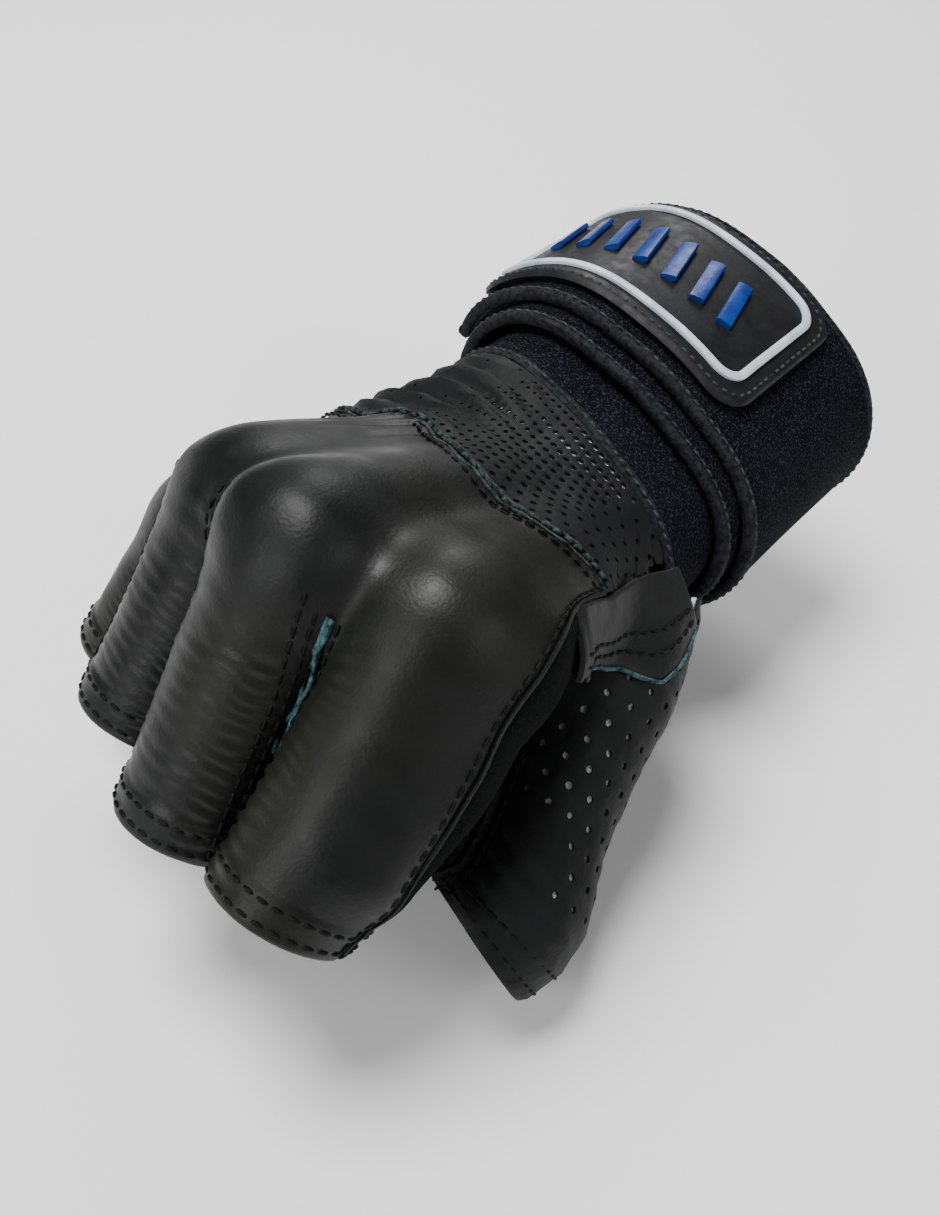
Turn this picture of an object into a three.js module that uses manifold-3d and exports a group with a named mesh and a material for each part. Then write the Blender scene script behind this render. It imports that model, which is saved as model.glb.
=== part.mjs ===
// Right-hand weightlifting glove with open fingers and a wrist wrap.
// Millimetres, +Z up. The forearm runs along +Y and the fingers point to -Y.
// The thumb is on +X, and the origin is the middle of the wrist.
// Every sheet is a grid of rays from the finger bones out to the form of the hand.

import * as THREE from 'three';
import Module from 'manifold-3d';

const wasm = await Module();
wasm.setup();

// Driving dimensions of the hand that the glove is shaped on
const PALM_LENGTH = 88;
const KNUCKLE_HEIGHT = 27;
const KNUCKLE_SPAN = 58;
const FINGER_RADIUS = 9.6;
const STALL_LENGTH = 50;
const KNUCKLE_BEND_RADIUS = 17;
const BLEND = 2.2;
const PRESS_ROUND = 1.5;

// Driving dimensions of the wrist
const WRIST_HALF_WIDTH = 29.5;
const WRIST_HALF_DEPTH = 18;
const WRIST_SIDE_GIRTH = 0.9;
const WRIST_ROLL = -17;

// Driving dimensions of the thumb
const THUMB_RADIUS = 9.8;
const THUMB_LENGTH = 90;

// Sheet thicknesses and clearances
const LEATHER = 1.4;
const KNIT = 1.0;
const PIERCED_LEATHER = 1.1;
const LINING = 1.0;
const VELOUR = 1.8;
const HEM_EXTRA = 0.8;
const HEM_WIDTH = 7;
const GAP = 0.36;
const GLOVE_LEVEL = 2.6;

// Wrist cuff, wrap and badge
const CUFF_EDGE = 23;
const CUFF_SLANT = 9;
const CUFF_END = 42;
const CUFF_LEVEL = 0.3;
const BINDING_WIDTH = 2.4;
const BINDING_PROUD = 0.5;
const STRAP_BINDING_PROUD = 0.2;
const STRAP_THICKNESS = 2.0;
const STRAP_SPACING = 0.8;
const STRAP_WIDTH = 50.5;
const STRAP_START = 13;
const STRAP_DRIFT = 5;
const STRAP_TURNS = 1.6;
const STRAP_TIP_ANGLE = 185;
const STRAP_TIP_LIFT = 2;
const STRAP_TIP_SHARE = 0.06;
const BADGE_LENGTH = 66;
const BADGE_WIDTH = 42;
const BADGE_THICKNESS = 1.8;
const BADGE_CORNER = 7;
const BADGE_FROM_TIP = 4;
const FRAME_INSET = 4;
const FRAME_WIDTH = 1.8;
const FRAME_HEIGHT = 0.8;
const RIB_COUNT = 7;
const RIB_WIDTH = 3.4;
const RIB_LENGTH = 13;
const RIB_LEAN = 3;
const RIB_HEIGHT = 1;

// Holes of the pierced leather
const HOLE_RADIUS = 0.8;
const HOLE_SIDES = 4;
const BACK_HOLES = { across: 3, along: 3, stagger: 0.4, first: 0.7, pitch: 0.294 };
const THUMB_HOLES = { across: 4, along: 8, stagger: 0.5, first: 0.9, pitch: 0.22, from: -70, to: 44 };

// Seams: the angle round a finger where each sheet ends, in degrees from its back
const BACK_EDGE = 62;
const KNIT_EDGE = 66;
const KNIT_END = 113;
const PALM_EDGE = 118;
const INDEX_EDGE = 63;
const INDEX_CREASE = 58;
const INDEX_HEM_EDGE = 80;
// How far the leather's seam runs back at the thumb side, as a share of the hand's back
const SEAM_FALL = 0.17;
const LITTLE_SIDE = 104;

// Fullness beside the bones of the fingers. Each is a tapered bone between two
// places, given as a share of a finger's line and an offset in millimetres.
const WRIST_ROOT = -6;
const ROOT_GIRTH = 1.3;
const PAST_STALL = 15;
const FLESH = [
  { name: 'index_pad', finger: 0, line: 'stall', from: 0, fromX: 7, fromY: 6, fromZ: -8, fromRadius: 10,
    to: 0.75, toX: 6.5, toY: 2, toZ: 1, toRadius: 7 },
  { name: 'web_side', finger: 0, line: 'hand', from: 0.55, fromX: 5, fromY: 0, fromZ: -4, fromRadius: 9,
    to: 1, toX: 3, toY: 8, toZ: -8, toRadius: 8.5 },
  { name: 'little_side', finger: 3, line: 'hand', from: 0.45, fromX: 1, fromY: 6, fromZ: -2, fromRadius: 11.5,
    to: 0.45, toX: -3, toY: -12, toZ: -4, toRadius: 9.5 },
];
const WEB_DROP = -10;
// Flesh between the ring and little knuckles, as shares of the two hand lines
const KNUCKLE_WEB = { ring: 0.88, little: 0.9, y: 2, z: -2, ringRadius: 9, littleRadius: 8 };

// Fingers: knuckle place as shares of span, length and height, then shares of the
// finger radius and stall length, then the stall's drop and turn in degrees.
// start is the share of the wrist width where its line meets the cuff, seam the
// share of the hand's back where the leather begins.
const FINGERS = [
  { name: 'index', across: 0.35, along: 0.94, up: 0.86, girth: 1.02, tip: 1.01,
    stall: 1.0, drop: 47, turn: 1, start: 0.42, seam: 0.8 },
  { name: 'middle', across: -0.06, along: 1.0, up: 1.0, girth: 1.0, tip: 1.0,
    stall: 1.0, drop: 58, turn: 5.6, start: 0.12, seam: 0.7 },
  { name: 'ring', across: -0.385, along: 0.92, up: 0.67, girth: 0.93, tip: 0.92,
    stall: 0.85, drop: 57, turn: -2, start: -0.2, seam: 0.59 },
  { name: 'little', across: -0.655, along: 0.85, up: -0.04, girth: 0.82, tip: 0.82,
    stall: 0.64, drop: 60, turn: -17, start: -0.5, seam: 0.58 },
];

// Slits between neighbouring fingers: the step of the bend where each begins, and
// the share of the stall over which it opens
const BEND_STEPS = 6;
const STALL_STEPS = 7;
const SLITS = [
  { between: 'index_middle', step: 5, opening: 0.4 },
  { between: 'middle_ring', step: 4, opening: 0.5 },
  { between: 'ring_little', step: 4, opening: 0.34 },
];

// Thumb joints as shares of the thumb length from the origin, with the girth
// there as a share of the thumb radius
const THUMB_OPENING_DIR = [-0.3, -0.85, -0.43];
const THUMB_JOINTS = [
  { name: 'wrist', x: 0.2, y: -0.13, z: -0.01, girth: 1.25 },
  { name: 'knuckle', x: 0.33, y: -0.53, z: -0.12, girth: 1.1 },
  { name: 'middle', x: 0.46, y: -0.9, z: -0.345, girth: 0.97 },
  { name: 'opening', x: 0.435, y: -0.975, z: -0.385, girth: 0.94 },
];

const v3 = (x, y, z) => new THREE.Vector3(x, y, z);
const rad = THREE.MathUtils.degToRad;
const mix = (a, b, t) => a + (b - a) * t;
const mixPoint = (a, b, t) => a.clone().lerp(b, t);
const along = (o, d, t) => o.clone().addScaledVector(d, t);
const smooth = (t) => THREE.MathUtils.smoothstep(t, 0, 1);

// Wrist section axes, rolled about the forearm
const WRIST_SIDE = v3(Math.cos(rad(WRIST_ROLL)), 0, Math.sin(rad(WRIST_ROLL)));
const WRIST_UP = v3(-Math.sin(rad(WRIST_ROLL)), 0, Math.cos(rad(WRIST_ROLL)));
// Direction square to the cuff's edge, and the edge's place on the forearm axis
const CUFF_DIR = v3(-Math.sin(rad(CUFF_SLANT)), -Math.cos(rad(CUFF_SLANT)), 0);
const onCuffEdge = (p, past = 0) => p.setY(-CUFF_EDGE - past + (CUFF_DIR.x / -CUFF_DIR.y) * p.x);

// One bone line for each finger: cuff point, knuckle, stall direction and end
const fingerLines = FINGERS.map((f) => {
  const knuckle = v3(f.across * KNUCKLE_SPAN, -f.along * PALM_LENGTH, f.up * KNUCKLE_HEIGHT);
  const start = WRIST_SIDE.clone().multiplyScalar(f.start * WRIST_HALF_WIDTH);
  onCuffEdge(start, GAP);
  const drop = rad(f.drop);
  const turn = rad(f.turn);
  const stallDir = v3(Math.sin(turn) * Math.cos(drop), -Math.cos(turn) * Math.cos(drop), -Math.sin(drop));
  const end = along(knuckle, stallDir, f.stall * STALL_LENGTH);
  const handDir = knuckle.clone().sub(start).normalize();
  const side = handDir.clone().cross(stallDir).normalize();
  const halfBend = Math.acos(THREE.MathUtils.clamp(handDir.dot(stallDir), -1, 1)) / 2;
  const setback = KNUCKLE_BEND_RADIUS * Math.tan(halfBend);
  return { start, knuckle, end, handDir, stallDir, side, halfBend, setback };
});

// Bones of the hand and of the thumb, each a tapered capsule
const bone = (a, b, ra, rb, finger = -1) => ({ a, b, ra, rb, finger });
const wristBones = [-1, 0, 1].map((s) => {
  const r = WRIST_HALF_DEPTH * (s === 0 ? 1 : WRIST_SIDE_GIRTH) - BLEND / 2;
  const reach = WRIST_HALF_WIDTH - WRIST_HALF_DEPTH * WRIST_SIDE_GIRTH;
  const shift = WRIST_SIDE.clone().multiplyScalar(s * reach);
  return bone(shift.clone().setY(-CUFF_EDGE), shift.clone().setY(CUFF_END * 3), r, r);
});
const handBones = [...wristBones];
fingerLines.forEach((line, i) => {
  const rk = FINGERS[i].girth * FINGER_RADIUS;
  const rt = FINGERS[i].tip * FINGER_RADIUS;
  const root = line.start.clone().addScaledVector(line.handDir, WRIST_ROOT);
  handBones.push(bone(root, line.knuckle, rk * ROOT_GIRTH, rk, i));
  handBones.push(bone(line.knuckle, along(line.end, line.stallDir, PAST_STALL), rk, rt, i));
});
FLESH.forEach((f) => {
  const line = fingerLines[f.finger];
  const [a, b] = f.line === 'stall' ? [line.knuckle, line.end] : [line.start, line.knuckle];
  handBones.push(bone(mixPoint(a, b, f.from).add(v3(f.fromX, f.fromY, f.fromZ)),
    mixPoint(a, b, f.to).add(v3(f.toX, f.toY, f.toZ)), f.fromRadius, f.toRadius, f.finger));
});

handBones.push(bone(
  mixPoint(fingerLines[2].start, fingerLines[2].knuckle, KNUCKLE_WEB.ring)
    .add(v3(0, KNUCKLE_WEB.y, KNUCKLE_WEB.z)),
  mixPoint(fingerLines[3].start, fingerLines[3].knuckle, KNUCKLE_WEB.little)
    .add(v3(0, KNUCKLE_WEB.y, KNUCKLE_WEB.z)),
  KNUCKLE_WEB.ringRadius, KNUCKLE_WEB.littleRadius));

const thumbPoints = THUMB_JOINTS.map((j) => v3(j.x, j.y, j.z).multiplyScalar(THUMB_LENGTH));
const thumbRadii = THUMB_JOINTS.map((j) => j.girth * THUMB_RADIUS);
const openingDir = v3(...THUMB_OPENING_DIR).normalize();
const thumbBones = [
  bone(thumbPoints[0], thumbPoints[1], thumbRadii[0], thumbRadii[1]),
  bone(thumbPoints[1], thumbPoints[2], thumbRadii[1], thumbRadii[2]),
  bone(thumbPoints[2], thumbPoints[3], thumbRadii[2], thumbRadii[3]),
  bone(thumbPoints[3], along(thumbPoints[3], openingDir, PAST_STALL), thumbRadii[3], thumbRadii[3]),
  bone(mixPoint(fingerLines[0].start, fingerLines[0].knuckle, 0.5).add(v3(0, 0, WEB_DROP)),
    mixPoint(thumbPoints[0], thumbPoints[1], 0.8), THUMB_RADIUS, THUMB_RADIUS),
];

// Distance from a point to one bone's surface
function boneDistance(p, b) {
  const ab = b.b.clone().sub(b.a);
  const t = THREE.MathUtils.clamp(p.clone().sub(b.a).dot(ab) / ab.lengthSq(), 0, 1);
  return p.distanceTo(along(b.a, ab, t)) - mix(b.ra, b.rb, t);
}

// Smoothly joined distance to many bones
function formDistance(p, bones) {
  const all = bones.map((b) => boneDistance(p, b));
  const least = Math.min(...all);
  const sum = all.reduce((total, d) => total + Math.exp((least - d) / BLEND), 0);
  return least - BLEND * Math.log(sum);
}

// Smooth larger-of, used where neighbouring fingers press flat on each other
function smoothMax(a, b, k) {
  const h = Math.max(k - Math.abs(a - b), 0) / k;
  return Math.max(a, b) + h * h * k * 0.25;
}

// Planes between neighbouring stalls, each with its normal towards the little finger
const dividers = SLITS.map((slit, k) => {
  const a = fingerLines[k];
  const b = fingerLines[k + 1];
  const from = mixPoint(a.knuckle, a.end, 0.5);
  const to = mixPoint(b.knuckle, b.end, 0.5);
  const dir = a.stallDir.clone().add(b.stallDir).normalize();
  const normal = to.clone().sub(from);
  normal.addScaledVector(dir, -normal.dot(dir)).normalize();
  return { point: mixPoint(from, to, 0.5), normal };
});

const ownBones = FINGERS.map((f, i) => handBones.filter((b) => b.finger === i));

// Distance to one finger alone, pressed flat at the planes to its neighbours
function stallDistance(p, i) {
  let d = formDistance(p, ownBones[i]);
  const press = GAP / 2 + GLOVE_LEVEL;
  if (i < 3) {
    const div = dividers[i];
    d = smoothMax(d, p.clone().sub(div.point).dot(div.normal) + press, PRESS_ROUND);
  }
  if (i > 0) {
    const div = dividers[i - 1];
    d = smoothMax(d, -p.clone().sub(div.point).dot(div.normal) + press, PRESS_ROUND);
  }
  return d;
}

// First point along a ray where a distance reaches a level
const RAY_STEPS = 60;
const RAY_PACE = 0.95;
const RAY_NEAR = 1e-4;
function castRay(origin, dir, level, distance) {
  let t = 0;
  for (let step = 0; step < RAY_STEPS; step += 1) {
    const short = level - distance(along(origin, dir, t));
    t += short * RAY_PACE;
    if (Math.abs(short) < RAY_NEAR) break;
  }
  return along(origin, dir, t);
}
const handForm = (p) => formDistance(p, handBones);
const thumbForm = (p) => formDistance(p, thumbBones);

// Place and axes on a finger's line. Row 0 to 1 is the hand's back, 1 to 2 the
// bend over the knuckle, 2 to 3 the stall.
function fingerFrame(i, row) {
  const line = fingerLines[i];
  const bendStart = along(line.knuckle, line.handDir, -line.setback);
  const bendEnd = along(line.knuckle, line.stallDir, line.setback);
  if (row <= 1) {
    const t = mixPoint(CUFF_DIR, line.handDir, smooth(row)).normalize();
    const back = line.side.clone().cross(line.handDir);
    if (back.z < 0) back.negate();
    const up = mixPoint(WRIST_UP, back, smooth(row));
    const n = up.addScaledVector(t, -up.dot(t)).normalize();
    return { o: mixPoint(line.start, bendStart, row), t, n, l: n.clone().cross(t).normalize() };
  }
  if (row <= 2) {
    const up = line.side.clone().cross(line.handDir).normalize();
    if (up.z < 0) up.negate();
    const angle = (row - 1) * 2 * line.halfBend;
    const centre = along(bendStart, up, -KNUCKLE_BEND_RADIUS);
    const n = up.clone().multiplyScalar(Math.cos(angle)).addScaledVector(line.handDir, Math.sin(angle));
    const t = line.handDir.clone().multiplyScalar(Math.cos(angle)).addScaledVector(up, -Math.sin(angle));
    return { o: along(centre, n, KNUCKLE_BEND_RADIUS), t, n, l: n.clone().cross(t).normalize() };
  }
  const last = fingerFrame(i, 2);
  return { ...last, o: mixPoint(bendEnd, line.end, row - 2) };
}

// Share of a slit's opening at a row
function slitShare(k, row) {
  return smooth((row - 1 - SLITS[k].step / BEND_STEPS) / SLITS[k].opening);
}

// Angle where a sheet ends at one side of a finger. Side +1 faces the little finger.
function sideAngle(i, side, palm, row) {
  if (i === 0 && side < 0) {
    if (row < 1) return mix(INDEX_EDGE, INDEX_CREASE, smooth(row / 0.7));
    return mix(INDEX_CREASE, INDEX_HEM_EDGE, smooth((row - 1) / 1.1));
  }
  if (i === 3 && side > 0) return LITTLE_SIDE;
  return palm ? PALM_EDGE : BACK_EDGE;
}

function sideShare(i, side, row) {
  const k = side > 0 ? i : i - 1;
  if (k < 0) return slitShare(0, row);
  if (k > 2) return slitShare(2, row);
  return slitShare(k, row);
}

// Point at a set angle round one finger, on that finger's own form
function ownPoint(i, row, angle, level) {
  const f = fingerFrame(i, row);
  const dir = f.n.clone().multiplyScalar(Math.cos(angle)).addScaledVector(f.l, -Math.sin(angle));
  return castRay(f.o, dir, level, (p) => stallDistance(p, i));
}

// Ray in the valley between finger k and the next. It swings into the divider
// plane before the slit starts.
function valleyRay(k, row) {
  const f = fingerFrame(k, row);
  const g = fingerFrame(k + 1, row);
  const { point, normal } = dividers[k];
  const share = smooth((row - 0.5) / (0.5 + SLITS[k].step / BEND_STEPS));
  const o = mixPoint(f.o, g.o, 0.5);
  const n = mixPoint(f.n, g.n, 0.5).normalize();
  o.addScaledVector(normal, -share * o.clone().sub(point).dot(normal));
  n.addScaledVector(normal, -share * n.dot(normal)).normalize();
  return { o, n };
}

// Point on the joined hand: u runs from -1 at the index side of a finger to +1
function joinedPoint(i, row, u, palm, level) {
  const f = fingerFrame(i, row);
  const side = Math.sign(u) || 1;
  const j = i + side;
  if (j < 0 || j > 3) {
    const edge = sideAngle(i, side, palm, row);
    const angle = rad(palm ? 180 - (180 - edge) * Math.abs(u) : edge * Math.abs(u)) * side;
    const dir = f.n.clone().multiplyScalar(Math.cos(angle)).addScaledVector(f.l, -Math.sin(angle));
    return castRay(f.o, dir, level, handForm);
  }
  const g = valleyRay(Math.min(i, j), row);
  const share = Math.abs(u);
  const dir = mixPoint(f.n, g.n, share).normalize().multiplyScalar(palm ? -1 : 1);
  return castRay(mixPoint(f.o, g.o, share), dir, level, handForm);
}

// Point of the hand's shell, joined before the slits and split after them
function shellPoint(i, row, u, palm, level) {
  const side = Math.sign(u) || 1;
  const both = (sideShare(i, 1, row) + sideShare(i, -1, row)) / 2;
  const share = mix(both, sideShare(i, side, row), Math.abs(u));
  const edge = sideAngle(i, side, palm, row);
  const angle = rad(palm ? 180 - (180 - edge) * Math.abs(u) : edge * Math.abs(u)) * side;
  if (share <= 0) return joinedPoint(i, row, u, palm, level);
  const own = ownPoint(i, row, angle, level);
  if (share >= 1) return own;
  return joinedPoint(i, row, u, palm, level).lerp(own, share);
}

// Thumb frames: row 0 at the wrist to row 3 at the opening
const thumbDirs = [0, 1, 2].map((k) => thumbPoints[k + 1].clone().sub(thumbPoints[k]).normalize());
const thumbTangents = [
  thumbDirs[0].clone(),
  thumbDirs[0].clone().add(thumbDirs[1]).normalize(),
  thumbDirs[1].clone().add(openingDir).normalize(),
  openingDir.clone(),
];
const THUMB_BACK = v3(0.7, 0.1, 0.7).normalize();
function thumbFrame(row) {
  const k = Math.min(Math.floor(row), 2);
  const t = mixPoint(thumbTangents[k], thumbTangents[k + 1], row - k).normalize();
  const n = THUMB_BACK.clone().addScaledVector(t, -THUMB_BACK.dot(t)).normalize();
  const o = mixPoint(thumbPoints[k], thumbPoints[k + 1], row - k);
  return { o, t, n, l: n.clone().cross(t).normalize() };
}
function thumbPoint(row, degrees, level) {
  const f = thumbFrame(row);
  const a = rad(degrees);
  const dir = f.n.clone().multiplyScalar(Math.cos(a)).addScaledVector(f.l, -Math.sin(a));
  return castRay(f.o, dir, level, thumbForm);
}

// Wrist point: angle 0 at the thumb side, 90 at the back of the wrist. slant is 1
// where the section lies along the cuff's edge and 0 where it is square to the arm.
function wristPoint(y, degrees, level, slant = 0) {
  const a = rad(degrees);
  const dir = WRIST_SIDE.clone().multiplyScalar(Math.cos(a)).addScaledVector(WRIST_UP, Math.sin(a));
  dir.y = (CUFF_DIR.x / -CUFF_DIR.y) * dir.x * slant;
  return castRay(v3(0, y, 0), dir.normalize(), level, handForm);
}

// A grid patch holds outer and inner points as rows of columns
function patch(rows, cols, outerAt, innerAt) {
  const outer = [];
  const inner = [];
  for (const r of rows) {
    outer.push(cols.map((c) => outerAt(r, c)));
    inner.push(cols.map((c) => innerAt(r, c)));
  }
  return { outer, inner };
}
function steps(from, to, count) {
  return Array.from({ length: count + 1 }, (_, k) => mix(from, to, k / count));
}

function signedVolume(points, tris) {
  let sum = 0;
  for (let k = 0; k < tris.length; k += 3) {
    sum += points[tris[k]].dot(points[tris[k + 1]].clone().cross(points[tris[k + 2]]));
  }
  return sum / 6;
}

// Thick sheet: patches are welded where their outer points meet, and walls close
// every open edge. The edge points are drawn in by half the seam gap.
function thickSheet(patches) {
  const outer = [];
  const inner = [];
  const index = new Map();
  const find = (p, q) => {
    const key = [p.x, p.y, p.z].map((c) => Math.round(c * 200)).join(',');
    if (!index.has(key)) {
      index.set(key, outer.length);
      outer.push(p.clone());
      inner.push(q.clone());
    }
    return index.get(key);
  };
  const tris = [];
  const addTri = (a, b, c) => {
    if (a !== b && b !== c && a !== c) tris.push([a, b, c]);
  };
  for (const { outer: o, inner: q, flip } of patches) {
    for (let r = 0; r + 1 < o.length; r += 1) {
      for (let c = 0; c + 1 < o[r].length; c += 1) {
        const a = find(o[r][c], q[r][c]);
        const b = find(o[r][c + 1], q[r][c + 1]);
        const d = find(o[r + 1][c], q[r + 1][c]);
        const e = find(o[r + 1][c + 1], q[r + 1][c + 1]);
        if (flip) {
          addTri(a, b, e);
          addTri(a, e, d);
        } else {
          addTri(a, e, b);
          addTri(a, d, e);
        }
      }
    }
  }
  const edges = new Map();
  tris.forEach((t) => {
    for (let k = 0; k < 3; k += 1) {
      edges.set(`${t[k]}_${t[(k + 1) % 3]}`, [t[k], t[(k + 1) % 3], t[(k + 2) % 3]]);
    }
  });
  const open = [...edges.entries()].filter(([key]) => {
    const [a, b] = key.split('_');
    return !edges.has(`${b}_${a}`);
  }).map(([, value]) => value);
  const shift = new Map();
  for (const [a, b, c] of open) {
    const edge = outer[b].clone().sub(outer[a]).normalize();
    const inward = outer[c].clone().sub(outer[a]);
    inward.addScaledVector(edge, -inward.dot(edge)).normalize();
    for (const v of [a, b]) shift.set(v, (shift.get(v) || v3(0, 0, 0)).add(inward));
  }
  for (const [v, s] of shift) {
    const move = s.clone().normalize().multiplyScalar(Math.min(s.length(), 1) * GAP / 2);
    outer[v].add(move);
    inner[v].add(move);
  }
  const n = outer.length;
  const all = [];
  tris.forEach(([a, b, c]) => {
    all.push(a, b, c);
    all.push(a + n, c + n, b + n);
  });
  for (const [a, b] of open) all.push(a, a + n, b, b, a + n, b + n);
  const points = [...outer, ...inner];
  if (signedVolume(points, all) < 0) all.reverse();
  return { points, tris: all };
}

function toGeometry({ points, tris }) {
  const geometry = new THREE.BufferGeometry();
  const numbers = points.flatMap((p) => [p.x, p.y, p.z]);
  geometry.setAttribute('position', new THREE.Float32BufferAttribute(numbers, 3));
  geometry.setIndex(tris);
  return geometry;
}
function toSolid({ points, tris }) {
  return new wasm.Manifold(new wasm.Mesh({
    numProp: 3,
    vertProperties: new Float32Array(points.flatMap((p) => [p.x, p.y, p.z])),
    triVerts: new Uint32Array(tris),
  }));
}
function largestPiece(solid) {
  const pieces = solid.decompose();
  return pieces.reduce((best, piece) => (piece.volume() > best.volume() ? piece : best));
}
function solidGeometry(solid) {
  const mesh = largestPiece(solid).getMesh();
  const geometry = new THREE.BufferGeometry();
  geometry.setAttribute('position', new THREE.BufferAttribute(new Float32Array(mesh.vertProperties), 3));
  geometry.setIndex(Array.from(mesh.triVerts));
  return geometry;
}

// Rows of the hand's back and stall, shared by every sheet so that seams line up
const STALL_ROWS = steps(2, 3, STALL_STEPS);
const BEND_ROWS = steps(1, 2, BEND_STEPS);
const SHELL_ROWS = [...BEND_ROWS, ...STALL_ROWS.slice(1)];

function levelsAt(row, i, thickness) {
  const stallMm = FINGERS[i].stall * STALL_LENGTH - fingerLines[i].setback;
  const fromHem = (3 - row) * stallMm;
  const hem = row > 2 && fromHem < HEM_WIDTH ? HEM_EXTRA : 0;
  return GLOVE_LEVEL - thickness - hem;
}

// Leather of the knuckles and finger backs
function seamRow(i, u) {
  const side = Math.sign(u) || 1;
  const j = THREE.MathUtils.clamp(i + side, 0, 3);
  const fall = i === 0 && side < 0 ? SEAM_FALL * Math.abs(u) ** 1.5 : 0;
  return mix(FINGERS[i].seam, FINGERS[j].seam, Math.abs(u) / 2) - fall;
}
function columnsOf(i) {
  const half = steps(0, 1, 3);
  const wide = steps(0, 1, 4);
  const before = (i === 0 ? wide : half).slice(1).reverse().map((u) => -u);
  return [...before, ...(i === 3 ? wide : half)];
}
const PALM_COLUMNS = steps(-1, 1, 4);
function backPatches() {
  return FINGERS.map((f, i) => {
    const rows = [0, 1, 2].map((k) => ({ lead: k / 3 }));
    const all = [...rows, ...SHELL_ROWS.map((row) => ({ row }))];
    const rowAt = (r, u) => (r.row === undefined ? mix(seamRow(i, u), 1, r.lead) : r.row);
    return patch(all, columnsOf(i),
      (r, u) => shellPoint(i, rowAt(r, u), u, false, GLOVE_LEVEL),
      (r, u) => shellPoint(i, rowAt(r, u), u, false, levelsAt(rowAt(r, u), i, LEATHER)));
  });
}
function palmPatches() {
  return FINGERS.map((f, i) => {
    const all = [...steps(0, 1, 5).slice(0, -1), ...SHELL_ROWS];
    const p = patch(all, PALM_COLUMNS,
      (row, u) => shellPoint(i, row, u, true, GLOVE_LEVEL),
      (row, u) => shellPoint(i, row, u, true, levelsAt(row, i, LEATHER)));
    p.flip = true;
    return p;
  });
}
function pierceBackPatches(top, thickness, rows) {
  return FINGERS.map((f, i) => patch(steps(0, 1, rows), columnsOf(i),
    (r, u) => shellPoint(i, r * seamRow(i, u), u, false, top),
    (r, u) => shellPoint(i, r * seamRow(i, u), u, false, top - thickness)));
}

// Knit wall between finger k and k + 1: two sides joined at the bottom of the slit
function fourchettePatches(k) {
  const rows = SHELL_ROWS.slice(SLITS[k].step);
  const cols = [0, 1, 2, 3];
  const low = GLOVE_LEVEL - LEATHER - GAP;
  const crotch = (row, q) => {
    const top = joinedPoint(k, row, 1, false, low);
    const bottom = joinedPoint(k, row, 1, true, low);
    return mixPoint(top, bottom, q / 3);
  };
  const wall = (i, side) => {
    const point = (row, q, level) => {
      const share = slitShare(k, row);
      const angle = rad(mix(KNIT_EDGE, KNIT_END, q / 3)) * side;
      const own = ownPoint(i, row, angle, level);
      if (share >= 1) return own;
      const inset = (GLOVE_LEVEL - level) + GAP / 2;
      const c = crotch(row, q).addScaledVector(dividers[k].normal, -side * inset);
      return c.lerp(own, share);
    };
    return patch(rows, cols,
      (row, q) => point(row, q, GLOVE_LEVEL),
      (row, q) => {
        const p = point(row, q, GLOVE_LEVEL - KNIT);
        if (row === rows[0]) p.addScaledVector(fingerFrame(i, row).t, -KNIT);
        return p;
      });
  };
  const near = wall(k, 1);
  const far = wall(k + 1, -1);
  near.flip = false;
  far.flip = true;
  const bridge = {
    outer: [near.outer[0], far.outer[0]],
    inner: [near.inner[0], far.inner[0]],
    flip: true,
  };
  return [near, far, bridge];
}

const glove = new THREE.Group();
const finishes = {
  smoothLeather: { color: 0x14161a, roughness: 0.42, metalness: 0 },
  suede: { color: 0x0e1110, roughness: 0.95, metalness: 0 },
  knit: { color: 0x0b0c0f, roughness: 0.9, metalness: 0 },
  pierced: { color: 0x101214, roughness: 0.6, metalness: 0 },
  greyCloth: { color: 0x77797c, roughness: 0.9, metalness: 0 },
  velour: { color: 0x101319, roughness: 0.95, metalness: 0 },
  binding: { color: 0x0c0d10, roughness: 0.8, metalness: 0 },
  rubber: { color: 0x2a2c30, roughness: 0.6, metalness: 0 },
  silver: { color: 0xd5dce4, roughness: 0.4, metalness: 0.3 },
  blueRubber: { color: 0x1c3f86, roughness: 0.45, metalness: 0 },
};
function addPiece(name, geometry, finish) {
  const mesh = new THREE.Mesh(geometry, new THREE.MeshStandardMaterial(finishes[finish]));
  mesh.name = name;
  glove.add(mesh);
}

addPiece('back_leather', toGeometry(thickSheet(backPatches())), 'smoothLeather');
SLITS.forEach((slit, k) => {
  addPiece(`fourchette_${slit.between}`, toGeometry(thickSheet(fourchettePatches(k))), 'knit');
});

// Closed solids of the hand and thumb, used to trim each sheet where they meet
function closedTube(loops) {
  const points = loops.flat();
  const n = loops[0].length;
  const tris = [];
  for (let r = 0; r + 1 < loops.length; r += 1) {
    for (let c = 0; c < n; c += 1) {
      const a = r * n + c;
      const b = r * n + ((c + 1) % n);
      tris.push(a, b, a + n, b, b + n, a + n);
    }
  }
  for (const [first, order] of [[0, 1], [(loops.length - 1) * n, -1]]) {
    const middle = points.length;
    const sum = v3(0, 0, 0);
    for (let c = 0; c < n; c += 1) sum.add(points[first + c]);
    points.push(sum.multiplyScalar(1 / n));
    for (let c = 0; c < n; c += 1) {
      const a = first + c;
      const b = first + ((c + 1) % n);
      tris.push(...(order > 0 ? [a, middle, b] : [a, b, middle]));
    }
  }
  if (signedVolume(points, tris) < 0) tris.reverse();
  return { points, tris };
}
const TRIM_LEVEL = GLOVE_LEVEL + GAP;
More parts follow.
